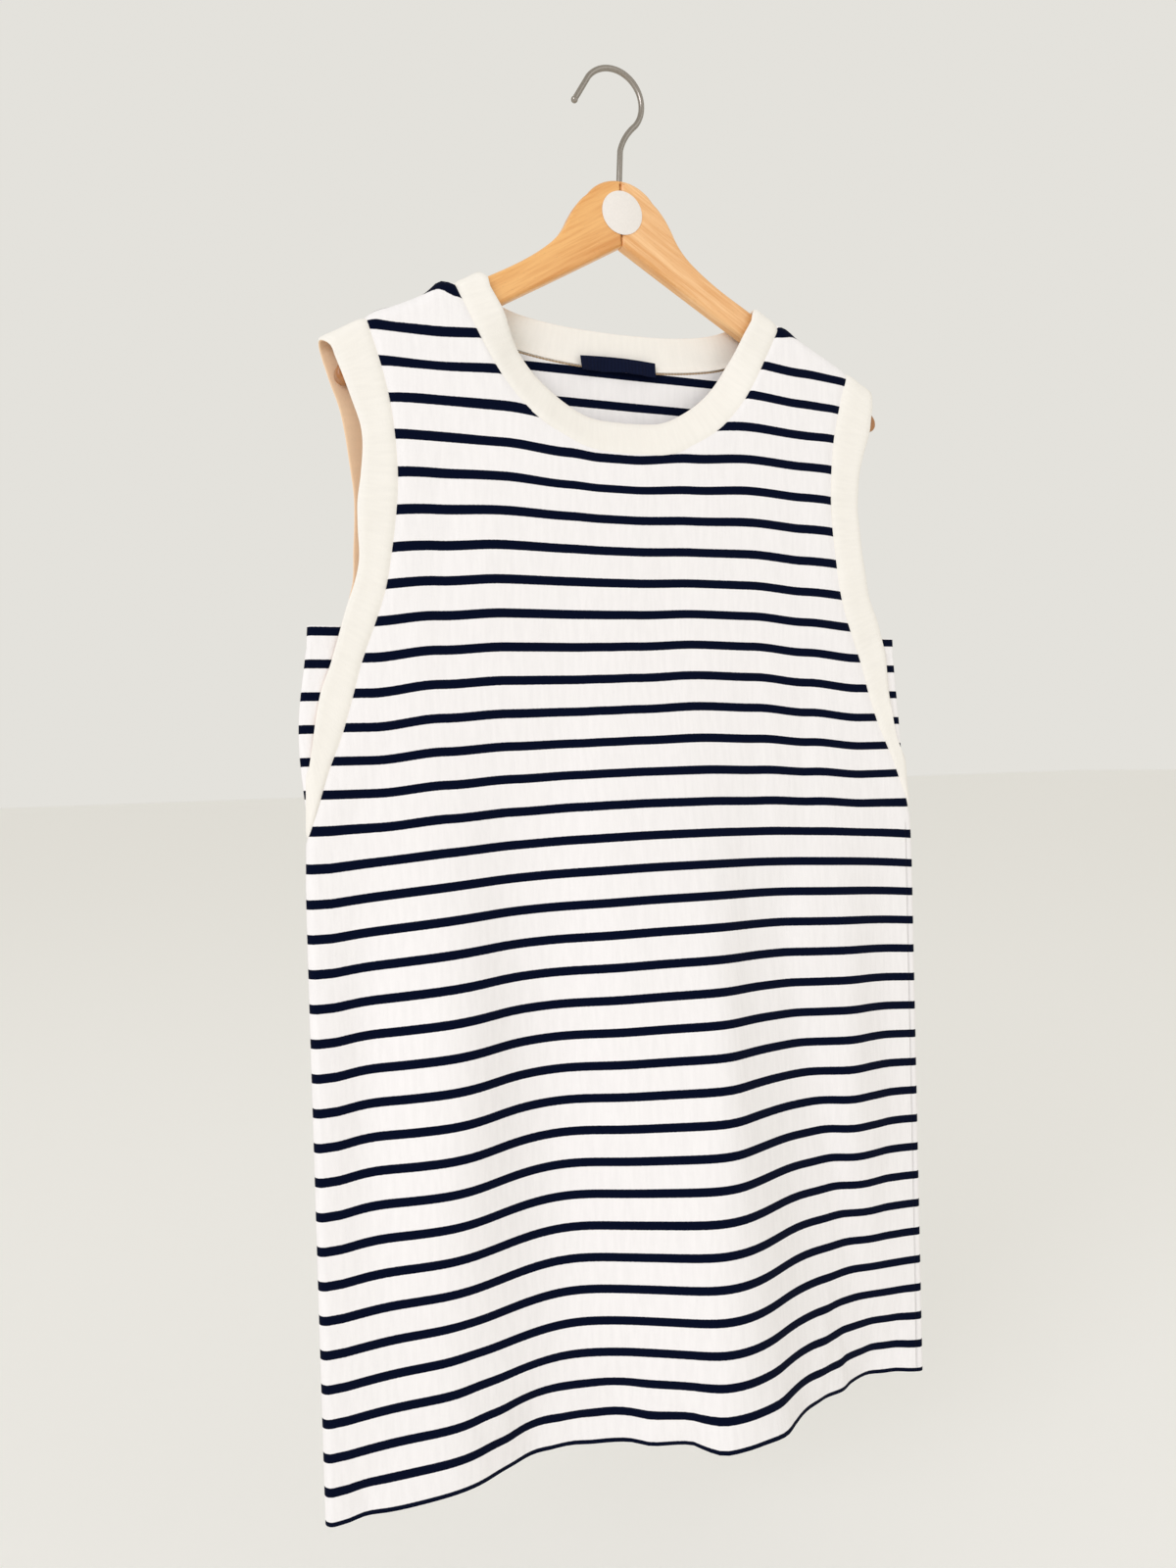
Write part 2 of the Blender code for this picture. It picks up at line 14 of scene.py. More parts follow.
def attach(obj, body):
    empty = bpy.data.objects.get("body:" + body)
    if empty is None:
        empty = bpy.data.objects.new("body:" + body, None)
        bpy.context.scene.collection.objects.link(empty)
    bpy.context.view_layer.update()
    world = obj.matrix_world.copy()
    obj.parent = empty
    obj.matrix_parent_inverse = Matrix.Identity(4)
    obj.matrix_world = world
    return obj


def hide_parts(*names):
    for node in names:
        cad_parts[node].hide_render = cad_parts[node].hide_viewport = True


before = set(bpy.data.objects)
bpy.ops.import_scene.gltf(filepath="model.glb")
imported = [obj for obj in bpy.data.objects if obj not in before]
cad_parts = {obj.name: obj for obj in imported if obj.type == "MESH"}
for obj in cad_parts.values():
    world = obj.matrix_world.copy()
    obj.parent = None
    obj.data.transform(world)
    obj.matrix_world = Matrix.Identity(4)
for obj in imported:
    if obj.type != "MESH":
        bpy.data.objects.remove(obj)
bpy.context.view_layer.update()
print("frame nodes:", sorted(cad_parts))

# %% [markdown]
# ## Camera
# The dress was seen from a little left of its middle and slightly turned, with a short
# lens held level with its waist. A short lens close by makes the hem look larger than the
# shoulders, so the lens matters as much as the place.

# %% Camera
CAMERA_PLACE = (-0.3607, -0.8160, -0.5159)
CAMERA_TURN = -21.81         # degrees about the vertical, to the right of straight on
CAMERA_TILT = -1.12          # degrees above the horizon
CAMERA_ROLL = -1.52          # degrees about the view's own middle
LENS = 27.0                  # mm, on a 36 mm sensor

camera = bpy.data.objects.new("camera", bpy.data.cameras.new("camera"))
bpy.context.scene.collection.objects.link(camera)
camera.data.sensor_width = 36.0
camera.data.lens = LENS
turned = Matrix.Rotation(math.radians(CAMERA_TURN), 4, "Z")
tilted = Matrix.Rotation(math.radians(90.0 + CAMERA_TILT), 4, "X")
rolled = Matrix.Rotation(math.radians(CAMERA_ROLL), 4, "Z")
camera.matrix_world = Matrix.Translation(CAMERA_PLACE) @ turned @ tilted @ rolled
bpy.context.scene.camera = camera
print("camera:", LENS, "mm at", CAMERA_PLACE)

# %% [markdown]
# ## Colours and nodes
# Colours are written as the eye sees them, in hex, and turned to the linear values that
# Blender's shaders want. One helper adds a node with its settings and its links, so a
# material reads as a short list. A Map Range node's inputs are given in their order: the
# value, from where to where it runs, and what the two ends become.

# %% Helpers for materials


def linear(hex_colour, alpha=1.0):
    """An sRGB hex colour as the linear values of a shader socket."""
    values = [int(hex_colour[i:i + 2], 16) / 255 for i in (1, 3, 5)]
    return (*[v / 12.92 if v <= 0.04045 else ((v + 0.055) / 1.055) ** 2.4 for v in values], alpha)


def new_material(name, levels):
    """A material whose one Principled shader has these levels. Returns it and the shader."""
    material = bpy.data.materials.new(name)
    material.use_nodes = True
    shader = material.node_tree.nodes["Principled BSDF"]
    for socket, level in levels.items():
        shader.inputs[socket].default_value = level
    print("material:", name)
    return material, shader


def output(value):
    """A node's first output. A socket or a value is left as it is."""
    return value.outputs[0] if isinstance(value, bpy.types.Node) else value


def add_node(material, kind, settings=None, inputs=None):
    """Adds a node. Inputs are values, or nodes or sockets to link from, by name or in their order."""
    tree = material.node_tree
    node = tree.nodes.new(kind)
    for key, value in (settings or {}).items():
        setattr(node, key, value)
    for key, value in (inputs.items() if isinstance(inputs, dict) else enumerate(inputs or ())):
        value = output(value)
        if isinstance(value, bpy.types.NodeSocket):
            tree.links.new(value, node.inputs[key])
        else:
            node.inputs[key].default_value = value
    return node


def surface(material, shader, colour, normal=None):
    """Puts a colour, and where there is one a bump, on the shader. Returns the material."""
    material.node_tree.links.new(output(colour), shader.inputs["Base Color"])
    if normal:
        material.node_tree.links.new(output(normal), shader.inputs["Normal"])
    return material


def wear(piece, material):
    """Makes a material the only one of a piece."""
    piece.data.materials.clear()
    piece.data.materials.append(material)


# %% [markdown]
# ## Floor and light
# The real dress hangs in a bright room with a window on its left. A pale floor, a pale
# sky all round, a large soft light from the left front and a weak one from the right give
# the same soft shade on the right of each fold without hard shadows.

# %% Floor, sky and lights
FLOOR_Z = -1.26
PALE = "#faf9f6"

bpy.ops.object.select_all(action="DESELECT")
bpy.ops.mesh.primitive_plane_add(size=60.0, location=(0.0, 0.0, FLOOR_Z))
floor = bpy.context.object
floor.name = "floor"
wear(floor, new_material("Matt pale floor paint", {"Roughness": 0.9, "Base Color": linear(PALE)})[0])

sky = bpy.data.worlds.new("pale sky")
sky.use_nodes = True
sky.node_tree.nodes["Background"].inputs["Color"].default_value = linear("#e9e7e1")
sky.node_tree.nodes["Background"].inputs["Strength"].default_value = 0.95
bpy.context.scene.world = sky
bpy.context.scene.view_settings.view_transform = "Standard"


def soft_light(name, place, aim, size, power, colour):
    """A square area light that looks at a point."""
    light = bpy.data.objects.new(name, bpy.data.lights.new(name, "AREA"))
    light.data.size = size
    light.data.energy = power
    light.data.color = linear(colour)[:3]
    light.location = place
    light.rotation_mode = "QUATERNION"
    light.rotation_quaternion = (Vector(aim) - Vector(place)).to_track_quat("-Z", "Y")
    bpy.context.scene.collection.objects.link(light)
    print(f"{name}: {size} m, {power} W")


MIDDLE = (0.0, 0.0, -0.55)
soft_light("window", (-4.3, -3.7, 1.3), MIDDLE, 2.6, 106.0, "#f1f3ff")
soft_light("room", (2.6, -4.2, 1.0), MIDDLE, 3.0, 15.0, "#eef2ff")

# %% [markdown]
# ## The form of the dress
# Every piece lies on one form: two cloths, front and back, that meet at the side folds and
# along the shoulders. The same named sizes and short tables shape the solids, so each
# sheet made here sits exactly where its solid is. Heights are measured up from the side
# ends of the hem, and half widths out from the dress's middle line.

# %% Sizes of the dress
HOOK_ABOVE_HEM = 1.0372
CENTRE_X = 0.006
HANGER_X = 0.003
JERSEY = 0.0014
BAND = 0.0024
SEAM_GAP = 0.0003
LAYER_GAP = 0.0008
HALF_WIDTH = 0.249
SIDE_TAPER = 0.0085
TAPER_HEIGHTS = (0.42, 0.62)
SIDE_CURL = 0.005
CREST_CURL = 0.009
ARMHOLE_BASE = 0.473
SHOULDER_TIP = (0.195, 0.831)
NECK_POINT = (0.1315, 0.8615)
SKEW = -0.0035
SKEW_HEIGHTS = (0.46, 0.58)
EDGE_DEPTH = 0.005
SHOULDER_DEPTH = 0.0082
BULGE = 0.004
SHOULDER_HEIGHTS = (0.58, 0.74)
BACK_FOLLOWS = 0.30
BACK_WAVE_HEIGHTS = (0.50, 0.66)
SIDE_EASE = 0.030
HEM_RISE = 0.0125
HEM_RISE_CENTRE = 0.010
HEM_RISE_REACH = 0.243
FOLD_SETTLES = 0.20

# Line over the shoulders: half width, height
CREST = ((0.0, 0.9180), (0.113, 0.8712), (0.1315, 0.8615), (0.195, 0.831), (0.226, 0.8130), (0.25, 0.80))

# Neckline seams: half width, height, half width of the free edge, height of the free edge
NECK_FRONT = (
    (0.0, 0.749, 0.0, 0.774),
    (0.032, 0.7515, 0.0285, 0.7762),
    (0.054, 0.7605, 0.0465, 0.7842),
    (0.077, 0.775, 0.064, 0.7965),
    (0.096, 0.795, 0.0785, 0.812),
    (0.1095, 0.816, 0.089, 0.829),
    (0.1205, 0.837, 0.0975, 0.8465),
    (0.129, 0.854, 0.1062, 0.861),
    (0.1315, 0.8615, 0.112, 0.8716),
)
NECK_LEAN = 0.009
NECK_LEAN_DROPS = (0.030, 0.075)
NECK_BACK = (
    (0.0, 0.819, 0.0, 0.846),
    (0.035, 0.82, 0.032, 0.8468),
    (0.065, 0.823, 0.0585, 0.849),
    (0.09, 0.828, 0.079, 0.8525),
    (0.11, 0.837, 0.0945, 0.858),
    (0.124, 0.849, 0.105, 0.865),
    (0.1315, 0.8615, 0.112, 0.8716),
)

# Armhole seam: height, half width, then height and half width of the band's free edge
ARMHOLE = (
    (0.473, 0.2476, 0.517, 0.245),
    (0.485, 0.243, 0.521, 0.2433),
    (0.497, 0.2385, 0.527, 0.2422),
    (0.519, 0.2305, 0.541, 0.2396),
    (0.543, 0.22, 0.558, 0.2365),
    (0.568, 0.2115, 0.581, 0.232),
    (0.594, 0.204, 0.604, 0.227),
    (0.618, 0.195, 0.628, 0.22),
    (0.643, 0.1865, 0.65, 0.212),
    (0.67, 0.1815, 0.674, 0.208),
    (0.695, 0.178, 0.697, 0.205),
    (0.72, 0.176, 0.72, 0.203),
    (0.748, 0.177, 0.745, 0.204),
    (0.774, 0.18, 0.769, 0.209),
    (0.8, 0.186, 0.79, 0.217),
    (0.822, 0.1927, 0.804, 0.2235),
    (0.831, 0.195, 0.813, 0.226),
)
BACK_WIDER = 0.008
BACK_WIDER_AT = (0.760, 0.045)
BACK_WIDER_STARTS = (0.60, 0.66)
BACK_WIDER_ENDS = (0.79, 0.831)
RIGHT_TIP_IN = 0.008
RIGHT_TIP_HEIGHTS = (0.76, 0.81)

# Long folds of the front: half width of the place at the hem and higher up, spread to the left
# and right, depth at the hem, depth at its fullest height, that height, height where it is gone
FOLDS = (
    (0.049, 0.036, 0.0455, 0.052, 0.051, 0.051, 0.05, 0.66),
    (-0.155, -0.155, 0.028, 0.028, 0.004, 0.0135, 0.24, 0.62),
    (0.2, 0.152, 0.026, 0.026, -0.002, 0.0145, 0.26, 0.6),
    (-0.036, -0.036, 0.026, 0.026, 0.0, 0.01, 0.34, 0.62),
    (-0.092, -0.092, 0.022, 0.022, -0.0135, 0.0, 0.1, 0.12),
    (0.205, 0.205, 0.02, 0.02, -0.009, 0.0, 0.09, 0.11),
    (-0.222, -0.222, 0.012, 0.012, -0.004, 0.0, 0.05, 0.07),
)

# Soft waves of the back alone: place, spread, depth, height of the middle, spread of height
BACK_WAVES = (
    (0.13, 0.04, 0.005, 0.1, 0.3),
    (-0.02, 0.035, -0.004, 0.2, 0.3),
    (-0.17, 0.03, 0.004, 0.25, 0.25),
)
print(f"laid flat the dress is {2 * HALF_WIDTH:.3f} m wide and {NECK_POINT[1]:.3f} m long")

# %% [markdown]
# ## Curves through the tables
# A table gives the form at a few places only. Smooth curves through its rows give it
# everywhere, and from them come the place and the outward normal of any spot of the cloth.

# %% Curves through the tables


def smooth(value, low, high):
    """0 below low, 1 above high, with no kink."""
    t = min(1.0, max(0.0, (value - low) / (high - low)))
    return t * t * (3.0 - 2.0 * t)


def mix(a, b, t):
    return a + (b - a) * t


def along(rows, key, column, at):
    """A smooth curve through one column of a table, read at a value of its key column."""
    i = 0
    while i < len(rows) - 2 and at >= rows[i + 1][key]:
        i += 1
    k0, k1 = rows[i][key], rows[i + 1][key]
    v0, v1 = rows[i][column], rows[i + 1][column]
    span = k1 - k0
    slope = (v1 - v0) / span
    before = slope if i == 0 else (v1 - rows[i - 1][column]) / (k1 - rows[i - 1][key])
    after = slope if i + 2 == len(rows) else (rows[i + 2][column] - v0) / (rows[i + 2][key] - k0)
    t = min(1.0, max(0.0, (at - k0) / span))
    return (v0 * (2 * t ** 3 - 3 * t ** 2 + 1) + before * span * (t ** 3 - 2 * t ** 2 + t)
            + v1 * (3 * t ** 2 - 2 * t ** 3) + after * span * (t ** 3 - t ** 2))


def crest(x):
    """Height of the line over the shoulders."""
    x = abs(x)
    for (x0, h0), (x1, h1) in zip(CREST, CREST[1:]):
        if x <= x1:
            return mix(h0, h1, (x - x0) / (x1 - x0))
    return CREST[-1][1]


def hem_height(x):
    return HEM_RISE * max(0.0, 1.0 - ((x - HEM_RISE_CENTRE) / HEM_RISE_REACH) ** 2)


def fold_depth(x, h):
    """All the long folds of the front at one place, positive towards the viewer."""
    total = 0.0
    for low, high, left, right, at_hem, fullest, full_height, gone in FOLDS:
        centre = high + (low - high) * math.exp(-max(h, 0.0) / FOLD_SETTLES)
        spread = left if x < centre else right
        depth_here = mix(at_hem, fullest, smooth(h, 0.0, full_height)) * (1.0 - smooth(h, full_height, gone))
        total += depth_here * math.exp(-0.5 * ((x - centre) / spread) ** 2)
    return total


def depth(x, h, back):
    """How far the cloth's middle lies in front of (or behind) the plane of the side folds."""
    across = 1.0 - (x / HALF_WIDTH) ** 2
    base = mix(EDGE_DEPTH, SHOULDER_DEPTH, smooth(h, *SHOULDER_HEIGHTS)) + BULGE * across
    near_side = smooth(HALF_WIDTH - abs(x), 0.0, SIDE_EASE)
    folds = fold_depth(x, h) * near_side
    if not back:
        return base + folds
    waves = sum(d * math.exp(-0.5 * ((x - c) / s) ** 2 - 0.5 * ((h - m) / r) ** 2)
                for c, s, d, m, r in BACK_WAVES)
    waves *= (1.0 - smooth(h, *BACK_WAVE_HEIGHTS)) * near_side
    return base + waves - BACK_FOLLOWS * folds


def half_width(h):
    """From the middle line to the side fold at a height."""
    return HALF_WIDTH - SIDE_TAPER * smooth(h, *TAPER_HEIGHTS)


def skew(h):
    return SKEW * smooth(h, *SKEW_HEIGHTS)


def turn_left(x, h):
    """Square of the share of the depth that is left where the cloth turns at a side or a shoulder."""
    side = min(1.0, max(0.0, (abs(x) - (half_width(h) - SIDE_CURL)) / SIDE_CURL))
    top = min(1.0, max(0.0, (h - (crest(x) - CREST_CURL)) / CREST_CURL))
    return (1.0 - side * side) * (1.0 - top * top)


def on_dress(x, h, back):
    """The middle of the cloth at a half width and a height, in the frame's metres."""
    y = depth(x, h, back) * math.sqrt(turn_left(x, h))
    return Vector((CENTRE_X + x + skew(h), y if back else -y, h - HOOK_ABOVE_HEM))


def outward(x, h, back, step=0.0004):
    """The cloth's outward normal, exact also where the cloth turns at a side or a shoulder."""
    d = depth(x, h, back)
    left = turn_left(x, h)
    d_x = (depth(x + step, h, back) - depth(x - step, h, back)) / (2 * step)
    d_h = (depth(x, h + step, back) - depth(x, h - step, back)) / (2 * step)
    s_x = (turn_left(x + step, h) - turn_left(x - step, h)) / (2 * step)
    s_h = (turn_left(x, h + step) - turn_left(x, h - step)) / (2 * step)
    lean = (skew(h + step) - skew(h - step)) / (2 * step)
    n_x = -(d_x * left + 0.5 * d * s_x)
    n_h = -(d_h * left + 0.5 * d * s_h) - n_x * lean
    n_y = math.sqrt(left)
    return Vector((n_x, n_y if back else -n_y, n_h)).normalized()


def armhole(h, back):
    """Half width of the armhole seam at a height."""
    wider = 0.0
    if back:
        middle, spread = BACK_WIDER_AT
        wider = BACK_WIDER * math.exp(-0.5 * ((h - middle) / spread) ** 2)
        wider *= smooth(h, *BACK_WIDER_STARTS) * (1.0 - smooth(h, *BACK_WIDER_ENDS))
    return min(along(ARMHOLE, 0, 1, h) + wider, half_width(h))


def armhole_edge(h, back, side):
    """Half width and height of the armband's free edge beside a place on the seam."""
    free_h = along(ARMHOLE, 0, 2, h)
    wider = armhole(h, back) - armhole(h, False)
    if side > 0:
        wider -= RIGHT_TIP_IN * smooth(h, *RIGHT_TIP_HEIGHTS)
    return min(along(ARMHOLE, 0, 3, h) + wider, half_width(free_h)), free_h


def neck_height(x, back):
    """Height of a panel's top edge: the neckline inside the neck point, the shoulder outside."""
    x = abs(x)
    if x >= NECK_POINT[0]:
        return crest(x)
    return along(NECK_BACK if back else NECK_FRONT, 0, 1, x)


print("the large fold stands out", round(fold_depth(FOLDS[0][0], 0.0), 4), "m at the hem")

# %% [markdown]
# ## Small creases
# The long folds are already in the form. What is left are the small ones that a hand can
# feel: soft troughs under the right armhole, a crushed stretch at the hem where the large
# fold ends, ripples of the hem and slack beside the bands. Each is a row of a table, a
# short line on the cloth with a width and a depth, and pulls the cloth in or out along
# its own normal. No two are alike.

# %% Tables of creases
# Half width and height of one end, half width and height of the other, width, depth outwards
FRONT_SLACK = (
    (-0.072, 0.07, -0.062, 0.35, 0.026, -0.0065),
    (0.047, 0.22, 0.047, 0.38, 0.013, 0.0045),
    (0.176, 0.11, 0.134, 0.29, 0.012, -0.005),
    (0.135, 0.03, 0.13, 0.11, 0.018, 0.003),
    (0.158, 0.0, 0.156, 0.05, 0.016, 0.003),
    (-0.16, 0.0, -0.16, 0.08, 0.026, 0.0035),
    (-0.145, 0.24, -0.145, 0.38, 0.02, 0.003),
    (-0.215, 0.2, -0.215, 0.38, 0.012, -0.004),
    (0.11, 0.36, 0.11, 0.43, 0.014, -0.004),
    (0.205, 0.2, 0.205, 0.26, 0.012, 0.002),
    (-0.04, 0.01, -0.04, 0.06, 0.012, -0.004),
)
FRONT_CREASES = (
    (0.082, 0.345, 0.08, 0.47, 0.01, -0.0016),
    (0.104, 0.33, 0.112, 0.56, 0.009, 0.0014),
    (0.156, 0.25, 0.152, 0.45, 0.0085, -0.0016),
    (0.176, 0.22, 0.186, 0.42, 0.01, 0.0013),
    (0.137, 0.45, 0.146, 0.56, 0.0065, -0.0012),
    (0.099, 0.455, 0.103, 0.57, 0.0065, -0.0009),
    (0.21, 0.12, 0.222, 0.38, 0.008, -0.001),
    (-0.15, 0.64, -0.142, 0.735, 0.01, -0.0011),
    (-0.17, 0.56, -0.16, 0.64, 0.008, 0.001),
    (-0.12, 0.62, -0.112, 0.7, 0.009, 0.0008),
    (0.15, 0.64, 0.142, 0.73, 0.009, -0.0009),
    (0.02, 0.56, 0.034, 0.73, 0.012, -0.0008),
    (-0.06, 0.48, -0.052, 0.64, 0.012, -0.001),
    (-0.105, 0.3, -0.112, 0.48, 0.012, -0.0012),
    (-0.2, 0.18, -0.208, 0.42, 0.01, -0.0011),
    (-0.128, 0.02, -0.148, 0.11, 0.009, -0.0014),
    (-0.112, 0.004, -0.128, 0.06, 0.007, 0.0013),
    (-0.083, 0.01, -0.073, 0.05, 0.005, 0.0011),
    (-0.066, 0.01, -0.06, 0.036, 0.004, -0.0009),
    (-0.012, 0.01, -0.016, 0.04, 0.005, 0.0009),
    (0.01, 0.01, 0.006, 0.045, 0.005, -0.0008),
    (0.128, 0.002, 0.146, 0.09, 0.007, 0.0018),
    (0.172, 0.002, 0.164, 0.06, 0.0055, -0.0017),
    (0.192, 0.002, 0.188, 0.05, 0.006, 0.0015),
    (0.226, 0.002, 0.228, 0.07, 0.006, -0.0008),
    (-0.188, 0.76, -0.15, 0.79, 0.006, 0.0007),
    (-0.165, 0.7, -0.12, 0.745, 0.007, -0.0006),
    (0.168, 0.8, 0.15, 0.76, 0.0055, -0.0007),
    (-0.232, 0.455, -0.196, 0.52, 0.006, -0.0009),
    (0.236, 0.455, 0.2, 0.53, 0.006, -0.0009),
)
BACK_CREASES = (
    (-0.16, 0.3, -0.148, 0.56, 0.012, -0.0015),
    (-0.09, 0.08, -0.104, 0.36, 0.013, 0.0013),
    (-0.03, 0.02, -0.02, 0.26, 0.012, -0.0014),
    (0.06, 0.12, 0.052, 0.44, 0.013, 0.0012),
    (0.118, 0.02, 0.13, 0.24, 0.01, -0.0014),
    (0.18, 0.2, 0.17, 0.5, 0.011, 0.0012),
    (0.15, 0.56, 0.128, 0.72, 0.01, -0.0011),
    (-0.15, 0.6, -0.13, 0.74, 0.01, -0.0011),
    (0.0, 0.56, 0.01, 0.76, 0.014, 0.0009),
    (-0.06, 0.004, -0.066, 0.05, 0.006, 0.0012),
    (0.088, 0.004, 0.094, 0.06, 0.006, -0.0011),
    (0.02, 0.004, 0.016, 0.044, 0.005, 0.0009),
    (-0.18, 0.002, -0.172, 0.07, 0.007, -0.0011),
    (0.204, 0.002, 0.196, 0.09, 0.007, 0.001),
    (-0.07, 0.7, 0.07, 0.716, 0.01, -0.0006),
)

# The front hem's edge: half width, how much further out it stands than the long folds carry it
HEM_EDGE = (
    (-0.249, -0.001), (-0.225, 0.001), (-0.205, 0.003), (-0.15, 0.001), (-0.12, 0.0), (-0.088, 0.002),
    (-0.07, -0.001), (-0.042, -0.002), (-0.028, -0.003), (-0.016, -0.001), (0.009, -0.006), (0.02, 0.0),
    (0.03, 0.005), (0.045, 0.003), (0.062, 0.003), (0.08, 0.007), (0.095, 0.0045), (0.111, 0.002),
    (0.138, 0.0), (0.16, 0.002), (0.191, -0.001), (0.21, 0.003), (0.23, 0.0), (0.249, -0.001),
)
HEM_EDGE_FADES = 0.030        # height over which that dies out
CREASE_REACH = 3.5            # widths beside its line where a crease is gone
CREASE_START = (-0.5, 0.4)    # shares of its line over which it grows
CREASE_END = (0.6, 1.5)       # and over which it dies out


def hem_edge(x, h):
    """How much further out the front stands near its hem, where the cloth is free to bend."""
    x = min(HEM_EDGE[-1][0], max(HEM_EDGE[0][0], x))
    return along(HEM_EDGE, 0, 1, x) * math.exp(-max(0.0, h - hem_height(x)) / HEM_EDGE_FADES)


def crease(rows, x, h):
    """How far the small creases push the cloth out at one place."""
    total = 0.0
    for x0, h0, x1, h1, width, out in rows:
        along_x = x1 - x0
        along_h = h1 - h0
        length = math.hypot(along_x, along_h)
        t = ((x - x0) * along_x + (h - h0) * along_h) / length ** 2
        beside = abs((x - x0) * along_h - (h - h0) * along_x) / length
        if beside < CREASE_REACH * width and CREASE_START[0] < t < CREASE_END[1]:
            fade = smooth(t, *CREASE_START) * (1.0 - smooth(t, *CREASE_END))
            total += out * fade * math.exp(-0.5 * (beside / width) ** 2)
    return total


print(len(FRONT_SLACK) + len(FRONT_CREASES), "creases in front,", len(BACK_CREASES), "behind")

# %% [markdown]
# ## Cloth pushed up beside the neckband
# Where the neckband rests on the hanger, the panels' cloth beside it is pushed up into
# small rises along the shoulders.

# %% Cloth pushed up beside the neckband
# Half width of the place, spread, height
SHOULDER_PEAKS = ((-0.1410, 0.0075, 0.0052), (0.1400, 0.0070, 0.0022), (-0.1860, 0.0080, 0.0014))
SHOULDER_PEAK_DROP = 0.016    # below the shoulder line, where that ends


def shoulder_peak(x, h):
    """How much higher the cloth stands on the shoulder, where the neckband has pushed it up."""
    near_top = smooth(h, crest(x) - SHOULDER_PEAK_DROP, crest(x))
    return near_top * sum(up * math.exp(-((x - c) / s) ** 2) for c, s, up in SHOULDER_PEAKS)


print("highest rise:", max(up for _, _, up in SHOULDER_PEAKS), "m")

# %% [markdown]
# ## Where the stripes run
# The stripes are knitted straight across the cloth, so a stripe is a line of one height on
# the flat cut. On the hanger the middle of the front rides up a little, and near the neck
# the cloth is drawn up on both sides, so the height on the cut is the height on the dress
# less this lift. It goes into each sheet's own UV map in metres, and the material draws
# the stripes from it, whatever the folds do.

# %% The lift of the stripes
LIFT_PLACES = (-0.20, -0.15, -0.10, -0.05, -0.025, 0.0, 0.05, 0.10, 0.15, 0.20)
# Height on the dress, then the lift at each of those places, left to right
LIFTS = (
    (0.5, 0.0031, 0.0071, 0.0099, 0.0117, 0.0122, 0.0125, 0.0122, 0.0108, 0.0084, 0.0049),
    (0.571, 0.0008, 0.0066, 0.0094, 0.01, 0.0106, 0.0114, 0.0135, 0.0122, 0.008, 0.0034),
    (0.666, 0.005, 0.0084, 0.011, 0.0104, 0.0101, 0.0102, 0.0118, 0.0121, 0.0092, 0.007),
    (0.714, 0.009, 0.0111, 0.0121, 0.0099, 0.0089, 0.0089, 0.0114, 0.0135, 0.0115, 0.01),
    (0.738, 0.012, 0.0125, 0.0125, 0.0084, 0.0066, 0.0066, 0.0108, 0.014, 0.012, 0.0105),
    (0.762, 0.0138, 0.0139, 0.0132, 0.01, 0.008, 0.008, 0.012, 0.0148, 0.0128, 0.0125),
    (0.785, 0.0138, 0.0152, 0.0158, 0.012, 0.01, 0.01, 0.013, 0.0162, 0.0136, 0.0128),
    (0.809, 0.016, 0.0145, 0.0172, 0.013, 0.012, 0.012, 0.015, 0.0175, 0.0142, 0.012),
    (0.826, 0.015, 0.015, 0.0175, 0.0135, 0.0125, 0.0125, 0.0155, 0.018, 0.0145, 0.0115),
    (0.836, 0.015, 0.0175, 0.018, 0.014, 0.013, 0.013, 0.016, 0.0185, 0.0165, 0.0105),
    (0.858, 0.015, 0.0225, 0.019, 0.014, 0.013, 0.013, 0.016, 0.019, 0.0225, 0.01),
)
# At the left shoulder tip the cloth rolls over: half width, spread, how much of the cut is taken in
SHOULDER_ROLL = (-0.187, 0.013, 0.0142)
SHOULDER_ROLL_DROPS = (0.0022, 0.0002)
BACK_LIFT = 0.006
BACK_LIFT_HEIGHTS = (0.10, 0.60)
LIFT_HEIGHTS = (0.44, 0.50)


def lift(x, h, back):
    """How much higher the stripes run on the dress than on the flat cut."""
    low = hem_height(x)
    if back:
        return mix(low, BACK_LIFT, smooth(h, *BACK_LIFT_HEIGHTS))
    if h < LIFT_HEIGHTS[0]:
        return low
    i = 0
    while i < len(LIFT_PLACES) - 2 and x >= LIFT_PLACES[i + 1]:
        i += 1
    height = max(h, LIFTS[0][0])
    high = mix(along(LIFTS, 0, i + 1, height), along(LIFTS, 0, i + 2, height),
               smooth(x, LIFT_PLACES[i], LIFT_PLACES[i + 1]))
    middle, spread, taken_in = SHOULDER_ROLL
    rolled = taken_in * math.exp(-((x - middle) / spread) ** 2)
    start, end = SHOULDER_ROLL_DROPS
    return mix(low, high, smooth(h, *LIFT_HEIGHTS)) - rolled * smooth(h - crest(x), -start, -end)


print("lift at the middle of the chest:", round(lift(0.0, LIFTS[2][0], False), 4), "m")

# %% [markdown]
# ## Laying a sheet
# A piece of cloth starts as Blender's flat grid. Each point of the grid is given a place on
# the dress, moved there, and its UV is written in metres. The grid keeps its order, so a
# row of the sheet stays a row of knitting. Solidify then gives the cloth its thickness, and
# a small bevel rounds the cut edges.

# %% Helpers for sheets
MERGE = 0.00001               # points closer than this become one
DEFAULT_ANGLE = 50.0          # degrees, up to which an edge is shaded smooth


def select_only(piece):
    """Makes a piece the only one selected, and the active one."""
    bpy.ops.object.select_all(action="DESELECT")
    piece.select_set(True)
    bpy.context.view_layer.objects.active = piece


